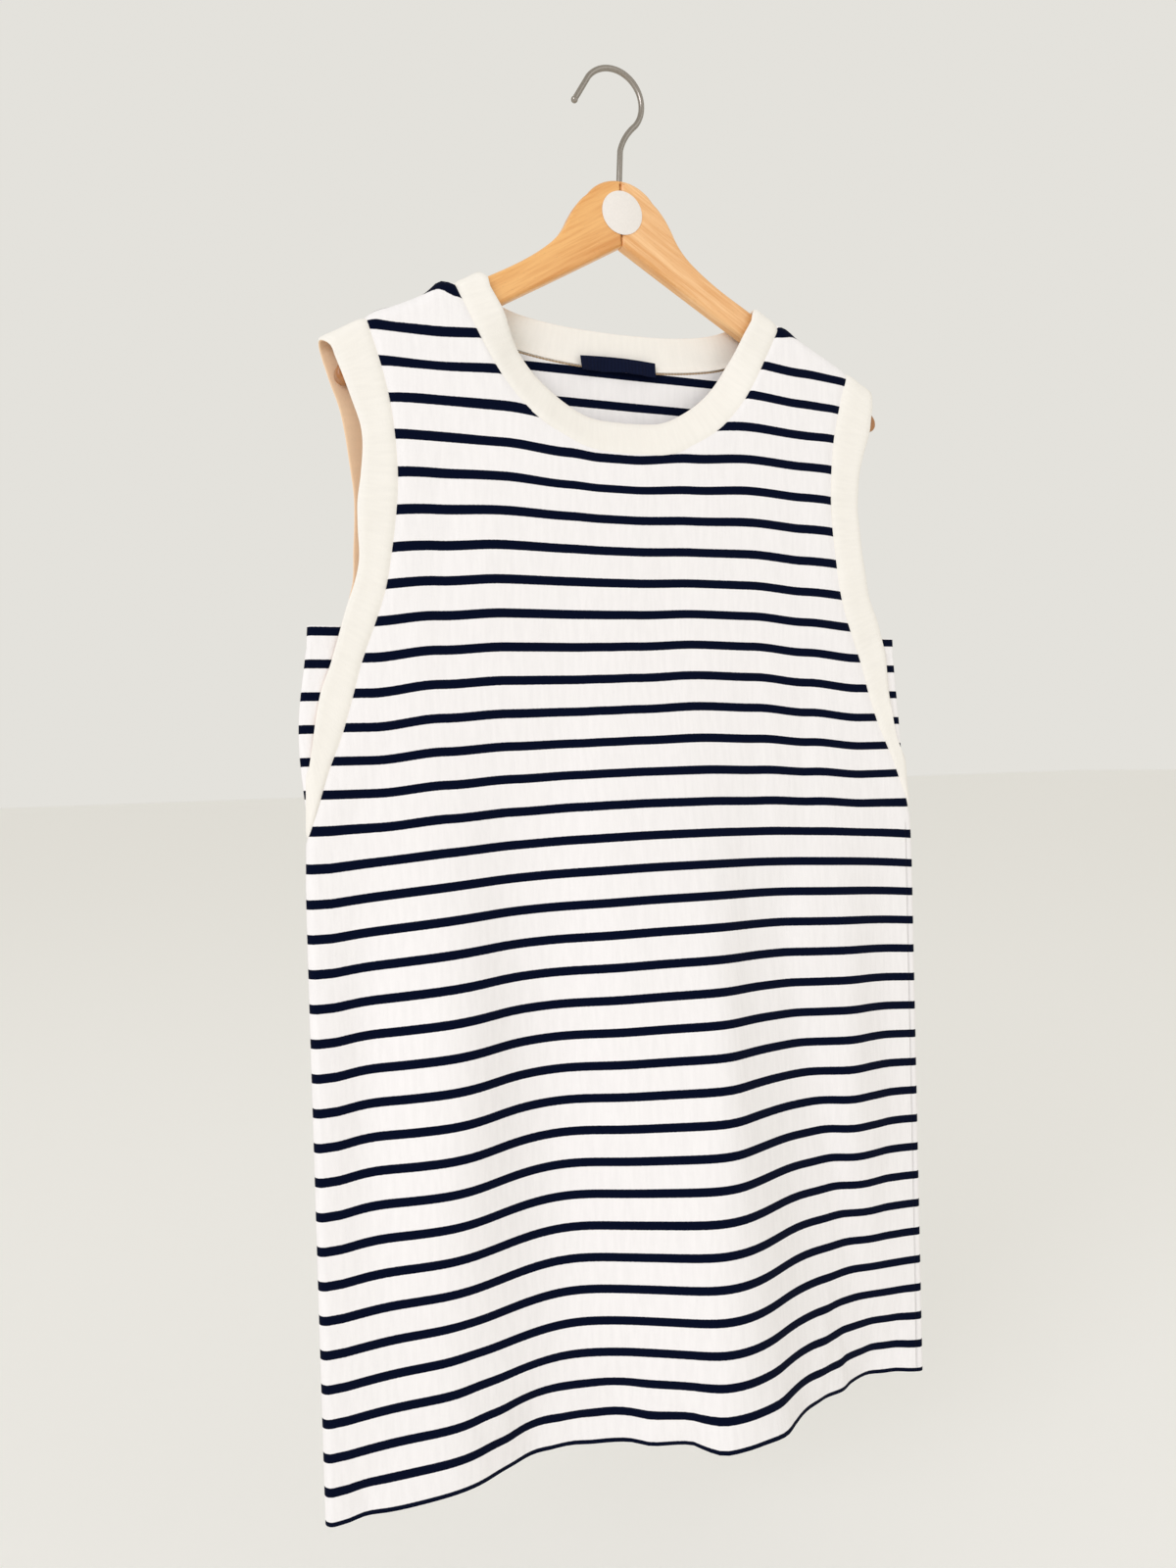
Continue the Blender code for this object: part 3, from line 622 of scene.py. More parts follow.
def sheet(name, place, cut):
    """A grid with its points at place[column][row] and cut[column][row] as their UV.

    Returns the piece and each vertex's column and row.
    """
    columns, rows = len(place), len(place[0])
    bpy.ops.object.select_all(action="DESELECT")
    bpy.ops.mesh.primitive_grid_add(x_subdivisions=columns - 1, y_subdivisions=rows - 1, size=1.0)
    piece = bpy.context.object
    piece.name = piece.data.name = name
    mesh = piece.data
    spots = [(round((v.co.x + 0.5) * (columns - 1)), round((v.co.y + 0.5) * (rows - 1))) for v in mesh.vertices]
    for vertex, (column, row) in zip(mesh.vertices, spots):
        vertex.co = place[column][row]
    layer = mesh.uv_layers.active
    layer.name = "Cut"
    for loop in mesh.loops:
        column, row = spots[loop.vertex_index]
        layer.data[loop.index].uv = cut[column][row]
    mesh.update()
    return piece, spots


def apply_modifier(piece, kind, name, **settings):
    """Adds one modifier and applies it."""
    select_only(piece)
    modifier = piece.modifiers.new(name, kind)
    for key, value in settings.items():
        setattr(modifier, key, value)
    bpy.ops.object.modifier_apply(modifier=modifier.name)


def round_edges(piece, width):
    """Rounds the sharp edges with a small bevel."""
    apply_modifier(piece, "BEVEL", "Rounded edges", width=width, segments=2, limit_method="ANGLE",
                   angle_limit=math.radians(60.0))


def thicken(piece, wall, width):
    """Gives a sheet its thickness, half to each side, and rounds its cut edges."""
    apply_modifier(piece, "SOLIDIFY", "Thickness", thickness=wall, offset=0.0)
    round_edges(piece, width)


def in_edit_mode(piece, operator, **settings):
    """Runs one edit mode operator on the whole of a piece."""
    select_only(piece)
    bpy.ops.object.mode_set(mode="EDIT")
    bpy.ops.mesh.select_all(action="SELECT")
    operator(**settings)
    bpy.ops.object.mode_set(mode="OBJECT")


def close_up(piece, threshold=MERGE):
    """Merges the points that meet."""
    in_edit_mode(piece, bpy.ops.mesh.remove_doubles, threshold=threshold)


def face_outwards(piece):
    """Turns the normals of a closed piece outwards."""
    in_edit_mode(piece, bpy.ops.mesh.normals_make_consistent, inside=False)


def done(piece, degrees=DEFAULT_ANGLE):
    """Shades a piece smooth but for edges sharper than this, and prints its size."""
    select_only(piece)
    bpy.ops.object.shade_smooth_by_angle(angle=math.radians(degrees))
    piece.data.calc_loop_triangles()
    print(f"{piece.name}: {len(piece.data.loop_triangles)} triangles")
    return piece


def evenly(start, end, step):
    """Values from start up to just below end, about one step apart."""
    number = max(1, round((end - start) / step))
    return [mix(start, end, i / number) for i in range(number)]

# %% [markdown]
# ## Front and back panels
# A real tee dress is cut as two panels, each a straight tube half with a scooped neck and
# deep armholes. Here each column of the sheet runs from the hem to the neckline or the
# shoulder, and is the same share of the half width all the way up, so the columns gather
# towards the armhole as the cut narrows. The points lie closer where the cloth turns over
# the shoulder and at the side fold.

# %% Panels
THREAD_STEP = 0.0040          # size of a panel's mesh squares
SEAM_DIP = 0.0010             # how far a sewn edge sinks in
SEAM_DIP_REACH = 0.0036
NECK_SLANT = 0.8              # of a drop below the slanting neckline, how much is distance from it
NO_SEAM = 1.0                 # far from any seam
BACK_CUT_ASIDE = 1.0          # the back's own cut lies this far beside the front's on the cutting table
CUT_ROUND = 0.0004            # radius of a cut or turned edge
NECK_STEP = 0.0016            # finer near the neck point and
UNDERARM_STEP = 0.0024        # under the arm, where the edges turn fast
FINE_FROM = 0.119             # half width from which the neck's columns are finer
UNDERARM_END = 0.500          # height up to which the rows are finer
TURNS = (18.0, 36.0, 54.0, 72.0, 90.0)

curl_share = [1.0 - SIDE_CURL / HALF_WIDTH * (1.0 - math.sin(math.radians(a))) for a in TURNS]
curl_place = SHOULDER_TIP[0] * (1.0 - SIDE_CURL / HALF_WIDTH)
curl_start = SHOULDER_TIP[1] - CREST_CURL
TOP_PLACES = evenly(0.0, FINE_FROM, THREAD_STEP) + evenly(FINE_FROM, NECK_POINT[0], NECK_STEP)
TOP_PLACES += evenly(NECK_POINT[0], curl_place, THREAD_STEP) + [curl_place]
TOP_PLACES += [SHOULDER_TIP[0] * share for share in curl_share]
side_rows = evenly(0.0, ARMHOLE_BASE, THREAD_STEP) + evenly(ARMHOLE_BASE, UNDERARM_END, UNDERARM_STEP)
side_rows += evenly(UNDERARM_END, curl_start, THREAD_STEP) + [curl_start]


def both_sides(values):
    return [-v for v in reversed(values[1:])] + list(values)


def seam_dip(distance):
    """How far a sewn edge sinks in, at a distance from its seam."""
    return -SEAM_DIP * math.exp(-(distance / SEAM_DIP_REACH) ** 2)


def panel(name, back):
    """The front or back panel as one sheet."""
    tops = both_sides(TOP_PLACES)
    place, cut, push = [], [], []
    creases = BACK_CREASES if back else FRONT_SLACK + FRONT_CREASES
    for x_top in (reversed(tops) if back else tops):
        top = neck_height(x_top, back)
        share = x_top / armhole(min(top, SHOULDER_TIP[1]), back)
        bottom = hem_height(share * HALF_WIDTH)
        heights = [bottom + (top - CREST_CURL - bottom) * row / curl_start for row in side_rows]
        heights += [top - CREST_CURL * (1.0 - math.sin(math.radians(a))) for a in TURNS]
        places, cuts, pushes = [], [], []
        for h in heights:
            half = armhole(h, back) if h > ARMHOLE_BASE else half_width(h)
            x = share * half
            places.append(on_dress(x, h, back) + Vector((0.0, 0.0, shoulder_peak(x, h))))
            cuts.append((x + (BACK_CUT_ASIDE if back else 0.0), h - lift(x, h, back)))
            beside = half - abs(x) if h > ARMHOLE_BASE else NO_SEAM
            under = top - h if abs(x_top) < NECK_POINT[0] else NO_SEAM
            side_ease = smooth(HALF_WIDTH - abs(x), 0.0, SIDE_EASE)
            free = crease(creases, x, h) + (0.0 if back else hem_edge(x, h))
            pushes.append(free * side_ease + seam_dip(beside) + seam_dip(under * NECK_SLANT))
        place.append(places)
        cut.append(cuts)
        push.append(pushes)
    piece, spots = sheet(name, place, cut)
    normals = [vertex.normal.copy() for vertex in piece.data.vertices]
    for vertex, normal, (column, row) in zip(piece.data.vertices, normals, spots):
        vertex.co += normal * push[column][row]
    piece.data.update()
    thicken(piece, JERSEY, CUT_ROUND)
    return done(piece)


front_cloth = panel("front_cloth", False)
back_cloth = panel("back_cloth", True)

# %% [markdown]
# ## Bands
# Each band is a strip of the same cream jersey folded in two along its free edge and sewn
# into the opening by both raw edges. So its section is drawn as the real fold: out along
# the face, round the fold and back on the inside, sinking in at the seam. The section is
# carried round the opening and the ring is closed by merging its first and last points.

# %% Section of a band
BAND_FACE_POINTS = 11
BAND_CROWDING = 1.6           # above 1, the points lie closer near the seam
BAND_FULLEST = (0.55, 1.0)    # share of the width over which it grows fuller
BAND_TURNS = (0.93, 1.0)      # and over which it turns into the fold
FOLD_ANGLES = (22.5, 45.0, 67.5, 90.0, 112.5, 135.0, 157.5)
BAND_ANGLE = 60.0             # degrees, up to which a band's edges are shaded smooth
BAND_PUFF = 0.0005            # the folded edge is a little fuller than the rest
BAND_TUCK = (0.0009, 0.0016)  # how much deeper its sewn edge sinks than the panel's, and over what reach
SEAM_LAP = 0.0004             # how far it runs under the panel's edge


def tuck(distance):
    """How much deeper the band lies than its neighbour, at a distance from its seam."""
    return -BAND_TUCK[0] * math.exp(-(distance / BAND_TUCK[1]) ** 2)


def band_section(width):
    """Points of a band's section: share of the way to the free edge, and distance outwards."""
    radius = BAND / 2
    last = 1.0 - radius / width
    shares = [last * (i / (BAND_FACE_POINTS - 1)) ** BAND_CROWDING for i in range(BAND_FACE_POINTS)]
    face = []
    for share in shares:
        fuller = BAND_PUFF * smooth(share, *BAND_FULLEST) * (1.0 - smooth(share, *BAND_TURNS))
        face.append((share, radius + fuller + seam_dip(share * width) + tuck(share * width)))
    fold = [(last + radius / width * math.sin(math.radians(a)), radius * math.cos(math.radians(a)))
            for a in FOLD_ANGLES]
    inside = [(share, -radius + seam_dip(share * width) + tuck(share * width)) for share in reversed(shares)]
    return face + fold + inside + [face[0]]


def band(name, stations, creases):
    """A folded band round an opening.

    A station is the seam's and the free edge's place, front or back, and how far the edge leans.
    """
    place, cut = [], []
    run = 0.0
    before = None
    for (x0, h0), (x1, h1), back, lean in stations + stations[:1]:
        width = math.hypot(x1 - x0, h1 - h0)
        seam = on_dress(x0, h0, back)
        if before is not None:
            run += (seam - before).length
        before = seam
        places, cuts = [], []
        for share, out in band_section(width):
            t = mix(-SEAM_LAP / width, 1.0, share)
            x = mix(x0, x1, t)
            h = min(mix(h0, h1, t), crest(x))
            point = on_dress(x, h, back) + outward(x, h, back) * (out + crease(creases, x, h))
            point.y += lean * t
            places.append(point)
            cuts.append((run, share * width * (1.0 if out > 0 else -1.0)))
        place.append(places)
        cut.append(cuts)
    piece, _ = sheet(name, place, cut)
    close_up(piece, 2 * MERGE)
    face_outwards(piece)
    return done(piece, BAND_ANGLE)


print("points of a band's section:", len(band_section(0.028)))

# %% [markdown]
# ## Neckband
# The free edge of its front half is slack and leans back a little into the neck. Five
# soft dents keep it from looking moulded.

# %% Neckband
NECK_STATIONS = 46
NECK_CREASES = (
    (-0.07, 0.76, -0.06, 0.8, 0.007, 0.0009),
    (-0.02, 0.745, -0.018, 0.78, 0.006, -0.0007),
    (0.036, 0.748, 0.034, 0.782, 0.008, 0.0007),
    (0.092, 0.785, 0.08, 0.815, 0.007, -0.0008),
    (-0.112, 0.82, -0.095, 0.835, 0.006, -0.0006),
)


def neck_stations():
    """Round the neck: across the front from left to right, then back behind the neck."""
    angles = [90.0 * i / NECK_STATIONS for i in range(NECK_STATIONS + 1)]
    places = both_sides([NECK_POINT[0] * math.sin(math.radians(a)) for a in angles])
    halves = []
    for back in (False, True):
        table = NECK_BACK if back else NECK_FRONT
        stations = []
        for x in places:
            h = neck_height(x, back)
            free_x = along(table, 0, 2, abs(x))
            free_h = along(table, 0, 3, abs(x))
            drop = crest(x) - h
            if drop < CREST_CURL:
                free_h = crest(free_x) - drop
            lean = 0.0 if back else NECK_LEAN * smooth(drop, *NECK_LEAN_DROPS)
            stations.append(((x, h), (math.copysign(free_x, x), free_h), back, lean))
        halves.append(stations)
    front, rear = halves
    return front + rear[-2:0:-1]


neckband_cloth = band("neckband_cloth", neck_stations(), NECK_CREASES)

# %% [markdown]
# ## Armbands
# They are made like the neckband, but shaped: wide at the side and the shoulder. Their
# free edges are slack, and how far each one has drawn in or out is in a table of its own.

# %% Armbands
BAND_STEP = 0.0042
ARM_CREASES = {
    -1: ((-0.195, 0.690, -0.208, 0.700, 0.0090, 0.0012), (-0.190, 0.640, -0.214, 0.655, 0.0080, -0.0012),
         (-0.205, 0.6, -0.225, 0.612, 0.007, 0.0009), (-0.215, 0.56, -0.236, 0.572, 0.008, -0.0008),
         (-0.186, 0.77, -0.21, 0.765, 0.008, -0.0008)),
    1: ((0.178, 0.722, 0.203, 0.720, 0.0070, -0.0012), (0.184, 0.660, 0.208, 0.668, 0.0090, 0.0010),
        (0.2, 0.604, 0.226, 0.616, 0.008, -0.0009), (0.19, 0.812, 0.215, 0.8, 0.007, 0.0009),
        (0.222, 0.54, 0.238, 0.556, 0.006, 0.0007)),
}


# Slack of the armbands' free edges: height on the seam, how much further in the edge lies there
EDGE_IN = {
    (-1, False): ((0.473, 0.0), (0.555, 0.0005), (0.582, 0.0042), (0.603, 0.0052), (0.637, 0.0048),
                  (0.661, 0.0048), (0.684, 0.0012), (0.702, -0.0004), (0.723, 0.0012), (0.757, 0.0046),
                  (0.779, 0.0036), (0.804, 0.0044), (0.824, 0.0048), (0.831, 0.0)),
    (-1, True): ((0.473, 0.0), (0.550, 0.0030), (0.609, 0.0078), (0.639, 0.0057), (0.670, 0.0040),
                 (0.7, 0.0045), (0.733, 0.004), (0.77, 0.0051), (0.79, 0.0044), (0.808, 0.002),
                 (0.831, 0.0)),
    (1, False): ((0.473, 0.0), (0.497, 0.0030), (0.517, 0.0050), (0.560, 0.0030), (0.598, -0.0010),
                 (0.641, 0.0), (0.676, 0.001), (0.737, 0.0008), (0.764, -0.0004), (0.792, -0.0062),
                 (0.818, -0.0034), (0.831, 0.0)),
    (1, True): ((0.473, 0.0), (0.560, 0.0020), (0.630, 0.0016), (0.700, 0.0010), (0.750, -0.0010),
                (0.792, -0.005), (0.831, 0.0)),
}


def arm_stations(side):
    """Round an armhole: up the front from the side fold, over the shoulder, down the back."""
    heights = evenly(ARMHOLE_BASE, 0.500, 0.0022) + evenly(0.500, SHOULDER_TIP[1] - CREST_CURL, BAND_STEP)
    heights += [SHOULDER_TIP[1] - CREST_CURL * (1.0 - math.sin(math.radians(a))) for a in (0.0, *TURNS)]
    halves = []
    for back in (False, True):
        stations = []
        for h in heights:
            free_x, free_h = armhole_edge(h, back, side)
            drop = SHOULDER_TIP[1] - h
            if drop < CREST_CURL + MERGE:
                free_h = crest(free_x) - drop
            free_x -= along(EDGE_IN[side, back], 0, 1, h)
            x = armhole(h, back)
            stations.append(((side * x, h), (side * free_x, free_h), back, 0.0))
        halves.append(stations)
    front, rear = halves
    return front + rear[-2:0:-1]


armband_cloth = {side: band(name, arm_stations(side), ARM_CREASES[side])
                 for side, name in ((-1, "armband_cloth_left"), (1, "armband_cloth_right"))}

# %% [markdown]
# ## Underarm insets
# Behind each band a small piece of the striped jersey closes the deep armhole. It is folded
# round the side with its top edge turned under, and its fold stands out a little past the
# band. It is laid like the panels and set in behind them by its own thickness.

# %% Insets
INSET_WALL = 0.0013
INSET_TOP = {-1: 0.6182, 1: 0.6158}
INSET_BOTTOM = 0.492
INSET_UNDER_BAND = 0.008
INSET_SIDE_HEIGHTS = (0.462, 0.542)
INSET_ROWS = 34
INSET_COLUMNS = 16            # from each free side to the fold
INSET_STRIPE_BELOW_TOP = 0.0040
INSET_STRETCH = {-1: 1.07, 1: 1.115}       # its stripes lie this much closer, because it is slack
INSET_CUT_ASIDE = 2.0         # the insets' cut lies beside the others' on the cutting table
INSET_CREASE = (0.0140, 0.0016, -0.0006)   # below the top, width, depth: the turned edge's step
# Height where its fold stands out, spread, how far
INSET_FLARE = {-1: (0.545, 0.055, 0.0072), 1: (0.555, 0.040, 0.0022)}


def inset(name, side):
    """One inset, from the front's free side round the fold to the back's."""
    place, cut = [], []
    inward = BAND / 2 + LAYER_GAP + INSET_WALL / 2
    below, width, out = INSET_CREASE
    for column in range(-INSET_COLUMNS, INSET_COLUMNS + 1):
        back = column > 0
        turn = math.sin(math.radians(90.0 * (1.0 - abs(column) / INSET_COLUMNS)))
        places, cuts = [], []
        for row in range(INSET_ROWS + 1):
            h = mix(INSET_BOTTOM, INSET_TOP[side], row / INSET_ROWS)
            hidden = INSET_UNDER_BAND * smooth(h, *INSET_SIDE_HEIGHTS)
            inner = min(armhole(h, back) + hidden, half_width(h) - SIDE_CURL)
            flare_height, flare_spread, flare_out = INSET_FLARE[side]
            flare = flare_out * math.exp(-((h - flare_height) / flare_spread) ** 2) * turn
            x = side * mix(inner, half_width(h), turn)
            step = out * math.exp(-0.5 * ((INSET_TOP[side] - below - h) / width) ** 2)
            normal = outward(x, h, back)
            aside = Vector((side * flare, 0.0, 0.0))
            places.append(on_dress(x, h, back) + normal * (step - inward) + aside)
            from_top = (h - INSET_TOP[side]) * INSET_STRETCH[side]
            cuts.append((INSET_CUT_ASIDE + x * (1.0 if back else -1.0), from_top + INSET_STRIPE_BELOW_TOP))
        place.append(places)
        cut.append(cuts)
    if side < 0:
        place.reverse()
        cut.reverse()
    piece, _ = sheet(name, place, cut)
    thicken(piece, INSET_WALL, CUT_ROUND)
    return done(piece)


inset_cloth = {side: inset(name, side) for side, name in ((-1, "inset_cloth_left"), (1, "inset_cloth_right"))}

# %% [markdown]
# ## Neck label
# A narrow woven label is sewn on the seam of the back neckband, inside. It has curled a
# little in the wash, so it is laid as a small sheet with two soft waves. It is left bare.

# %% Label
LABEL_SIZE = (0.062, 0.011)
LABEL_WALL = 0.0008
LABEL_TOP = 0.8266
LABEL_STANDS_OFF = 0.0026     # from the band behind it, because it is sewn over the overlock
LABEL_SAG = 0.0012            # how much lower its ends hang than its middle
LABEL_WAVE = 0.0013           # depth of the two waves at its loose lower edge
LABEL_END_CURL = 0.0014       # how much further its ends stand off
LABEL_GRID = (33, 9)
LABEL_ROUND = 0.00025


def label(name):
    """The label as one sheet, held along its top."""
    columns, rows = LABEL_GRID
    width, height = LABEL_SIZE
    inward = BAND / 2 + LAYER_GAP + LABEL_WALL / 2
    place, cut = [], []
    for i in range(columns):
        x = mix(width / 2, -width / 2, i / (columns - 1))
        wave = LABEL_WAVE * math.sin(x / width * 9.0) * (1.0 + 0.7 * math.sin(x / width * 23.0))
        wave += LABEL_END_CURL * math.exp(-(width / 2 - abs(x)) / 0.004)
        places, cuts = [], []
        for j in range(rows):
            sag = LABEL_SAG * (x / width) ** 2 * 4.0
            loose = 1.0 - j / (rows - 1)
            h = LABEL_TOP - sag - height * loose
            places.append(on_dress(x, h, True) - outward(x, h, True) * (inward + LABEL_STANDS_OFF + wave * loose))
            cuts.append((x, h))
        place.append(places)
        cut.append(cuts)
    piece, _ = sheet(name, place, cut)
    thicken(piece, LABEL_WALL, LABEL_ROUND)
    return done(piece)


label_tape = label("label_tape")

# %% [markdown]
# ## Overlocked seam inside the neck
# Inside the back neck, where the band meets the panel, the raw edges are overlocked. Seen
# through the neck it is a thin corded line with a bead for each stitch, so it is a ring of
# small beads on a fine cord, following the seam.

# %% Overlock stitches
STITCH_LENGTH = 0.0026
STITCH_RADIUS = 0.00085
STITCH_BELOW_SEAM = 0.0012
CORD_SHARE = 0.72             # radius of the cord between two beads, of a bead's
STITCH_SIDES = 8
SEAM_STEPS = 160              # of the seam's line, from the middle to the neck point
SEAM_SHARE = 0.985            # how far towards the neck point it shows


def overlock(name):
    """A beaded cord along the inside of the back neck seam."""
    angles = [90.0 * i / SEAM_STEPS for i in range(SEAM_STEPS + 1)]
    line = []
    for x in both_sides([NECK_POINT[0] * SEAM_SHARE * math.sin(math.radians(a)) for a in angles]):
        h = neck_height(x, True) - STITCH_BELOW_SEAM
        line.append(on_dress(x, h, True) - outward(x, h, True) * (JERSEY / 2 + STITCH_RADIUS * 0.6))
    run = [0.0]
    for a, b in zip(line, line[1:]):
        run.append(run[-1] + (b - a).length)
    number = round(run[-1] / (STITCH_LENGTH / 8))
    place, cut = [], []
    k = 0
    for i in range(number + 1):
        at = run[-1] * i / number
        while k < len(run) - 2 and run[k + 1] < at:
            k += 1
        point = line[k].lerp(line[k + 1], (at - run[k]) / (run[k + 1] - run[k]))
        forward = (line[k + 1] - line[k]).normalized()
        aside = forward.cross(Vector((0.0, 1.0, 0.0))).normalized()
        bead = abs(math.sin(math.pi * at / STITCH_LENGTH))
        radius = STITCH_RADIUS * mix(CORD_SHARE, 1.0, bead)
        ring, cuts = [], []
        for j in range(STITCH_SIDES + 1):
            angle = 2 * math.pi * j / STITCH_SIDES
            ring.append(point + aside * math.cos(angle) * radius + Vector((0.0, math.sin(angle) * radius, 0.0)))
            cuts.append((at, radius * angle))
        place.append(ring)
        cut.append(cuts)
    piece, _ = sheet(name, place, cut)
    close_up(piece)
    in_edit_mode(piece, bpy.ops.mesh.fill_holes, sides=STITCH_SIDES + 1)
    face_outwards(piece)
    return done(piece, BAND_ANGLE)


overlock_cord = overlock("neck_overlock")

# %% [markdown]
# ## Wooden hanger
# The hanger is glued up from two arms sawn from flat beech, which meet in a mitre under
# the hook. Each arm is one closed outline, smoothed through a few points, with thickness
# and a rounded edge from the curve's own bevel. The joint stays open by a hair, so that
# its line shows as on the real one, and the grain of each half runs along its own arm.

# %% Arms
UPRIGHT = Matrix.Rotation(math.radians(90), 4, "X")
HANGER_THICK = 0.0120
HANGER_ROUND = 0.0030
HEAD_CENTRE = 0.9210
HEAD_RADIUS = 0.0335
GLUE_LINE = 0.00020
# Half outline from the head down the top of the arm, round its end and back: half width, height
HANGER_EDGE = (
    (0.03, 0.9383), (0.0358, 0.9316), (0.041, 0.9233), (0.0456, 0.9146), (0.052, 0.906),
    (0.0612, 0.8977), (0.074, 0.8885), (0.088, 0.88), (0.106, 0.8702), (0.16, 0.8388), (0.211, 0.8055),
    (0.219, 0.7985), (0.222, 0.7925), (0.2205, 0.787), (0.215, 0.785),
    (0.16, 0.815), (0.102, 0.8482), (0.05, 0.8775), (0.0, 0.9062),
)
HANGER_HALF_WIDTH = max(x for x, h in HANGER_EDGE)
HANGER_ENDS_SHIFT = {-1: -0.0060, 1: 0.0015}     # the hanger sits a little to the right in the dress
HANGER_ENDS_START = 0.17      # half width from which that grows


def meshed(name, curve):
    """A curve's object, turned into a mesh."""
    piece = bpy.data.objects.new(name, curve)
    bpy.context.scene.collection.objects.link(piece)
    select_only(piece)
    bpy.ops.object.convert(target="MESH")
    return bpy.context.object


def hanger_arm(name, side):
    """One half of the hanger, from the middle line to its end."""
    start = math.degrees(math.asin((HANGER_EDGE[0][1] - HEAD_CENTRE) / HEAD_RADIUS))
    arc = [(HEAD_RADIUS * math.cos(math.radians(a)), HEAD_CENTRE + HEAD_RADIUS * math.sin(math.radians(a)))
           for a in [mix(90.0, start + 6.0, i / 6) for i in range(7)]]
    outline = arc + list(HANGER_EDGE)
    curve = bpy.data.curves.new(name, "CURVE")
    curve.dimensions = "2D"
    curve.fill_mode = "BOTH"
    curve.extrude = HANGER_THICK / 2 - HANGER_ROUND
    curve.bevel_depth = HANGER_ROUND
    curve.bevel_resolution = 4
    curve.offset = -HANGER_ROUND
    curve.resolution_u = 6
    spline = curve.splines.new("BEZIER")
    spline.bezier_points.add(len(outline) - 1)
    spline.use_cyclic_u = True
    for knot, (x, h) in zip(spline.bezier_points, outline):
        shift = HANGER_ENDS_SHIFT[side] * smooth(x, HANGER_ENDS_START, HANGER_HALF_WIDTH)
        knot.co = (side * (x + shift + GLUE_LINE), h - HOOK_ABOVE_HEM, 0.0)
        knot.handle_left_type = "AUTO"
        knot.handle_right_type = "AUTO"
    for corner in (spline.bezier_points[0], spline.bezier_points[-1]):
        corner.handle_left_type = "VECTOR"
        corner.handle_right_type = "VECTOR"
    arm = meshed(name, curve)
    arm.data.transform(Matrix.Translation((HANGER_X, 0.0, 0.0)) @ UPRIGHT)
    close_up(arm)
    face_outwards(arm)
    return done(arm, 40.0)


arms = {side: hanger_arm(name, side) for side, name in ((-1, "hanger_arm_left"), (1, "hanger_arm_right"))}

# %% [markdown]
# ## Wire hook
# The hook is one length of bright plated wire, bent round a former: a straight stem, an
# easy bend outwards, most of a circle and a short straight tip with a rounded end.

# %% Hook
WIRE = 0.0044
HOOK_RADIUS = 0.0240
HOOK_ARC = (-40.0, 142.0)
HOOK_STEM_TOP = 0.9790
HOOK_STEM_LEAN = 0.0024       # how far the stem leans right at its top
HOOK_EASE = (0.012, 0.012)
HOOK_TIP = (-0.0365, 1.0110)
STEM_IN_HEAD = 0.0157
TIP_BALL = 0.0026


def hook_line():
    """The middle line of the wire, from inside the head to the tip."""
    low = HEAD_CENTRE + HEAD_RADIUS - STEM_IN_HEAD - HOOK_ABOVE_HEM
    stem_end = Vector((HANGER_X + HOOK_STEM_LEAN, 0.0, HOOK_STEM_TOP - HOOK_ABOVE_HEM))
    middle = WIRE / 2 - HOOK_RADIUS
    foot = Vector((HANGER_X, 0.0, low))
    points = [foot, foot.lerp(stem_end, 0.6)]
    first = math.radians(HOOK_ARC[0])
    join = Vector((HOOK_RADIUS * math.cos(first), 0.0, middle + HOOK_RADIUS * math.sin(first)))
    rise = Vector((0.06, 0.0, 1.0)) * HOOK_EASE[0]
    pull = join + Vector((math.sin(first), 0.0, -math.cos(first))) * HOOK_EASE[1]
    for i in range(10):
        t = i / 10
        points.append(stem_end.lerp(stem_end + rise, t).lerp(pull.lerp(join, t), t))
    for i in range(41):
        angle = math.radians(mix(*HOOK_ARC, i / 40))
        points.append(Vector((HOOK_RADIUS * math.cos(angle), 0.0, middle + HOOK_RADIUS * math.sin(angle))))
    tip = Vector((HOOK_TIP[0] + CENTRE_X, 0.0, HOOK_TIP[1] - HOOK_ABOVE_HEM))
    last = points[-1]
    points += [last.lerp(tip, i / 4) for i in range(1, 5)]
    return points


def wire_hook(name):
    """The wire with a small ball as its rounded tip."""
    curve = bpy.data.curves.new(name, "CURVE")
    curve.dimensions = "3D"
    curve.bevel_depth = WIRE / 2
    curve.bevel_resolution = 6
    curve.use_fill_caps = True
    line = hook_line()
    spline = curve.splines.new("POLY")
    spline.points.add(len(line) - 1)
    for knot, point in zip(spline.points, line):
        knot.co = (*point, 1.0)
    wire = meshed(name, curve)
    close_up(wire)
    bpy.ops.object.select_all(action="DESELECT")
    bpy.ops.mesh.primitive_uv_sphere_add(segments=20, ring_count=12, radius=TIP_BALL, location=line[-1])
    wire.select_set(True)
    bpy.context.view_layer.objects.active = wire
    bpy.ops.object.join()
    return done(wire, 40.0)


hook = wire_hook("wire_hook")

# %% [markdown]
# ## Paper spot
# A round paper sticker sits on the head, over the glue line. It is a thin disc with softly
# rounded edges, and it is left blank.

# %% Paper spot
SPOT_RADIUS = 0.0162
SPOT_THICK = 0.0004
SPOT_HEIGHT = 0.9300
SPOT_ROUND = 0.00012


def paper_spot(name):
    """A thin upright disc on the front of the head."""
    bpy.ops.object.select_all(action="DESELECT")
    bpy.ops.mesh.primitive_cylinder_add(vertices=72, radius=SPOT_RADIUS, depth=SPOT_THICK)
    disc = bpy.context.object
    disc.name = name
    y = -HANGER_THICK / 2 - SEAM_GAP / 2 - SPOT_THICK / 2
    disc.data.transform(Matrix.Translation((HANGER_X, y, SPOT_HEIGHT - HOOK_ABOVE_HEM)) @ UPRIGHT)
    round_edges(disc, SPOT_ROUND)
    return done(disc, 35.0)


spot = paper_spot("paper_spot")

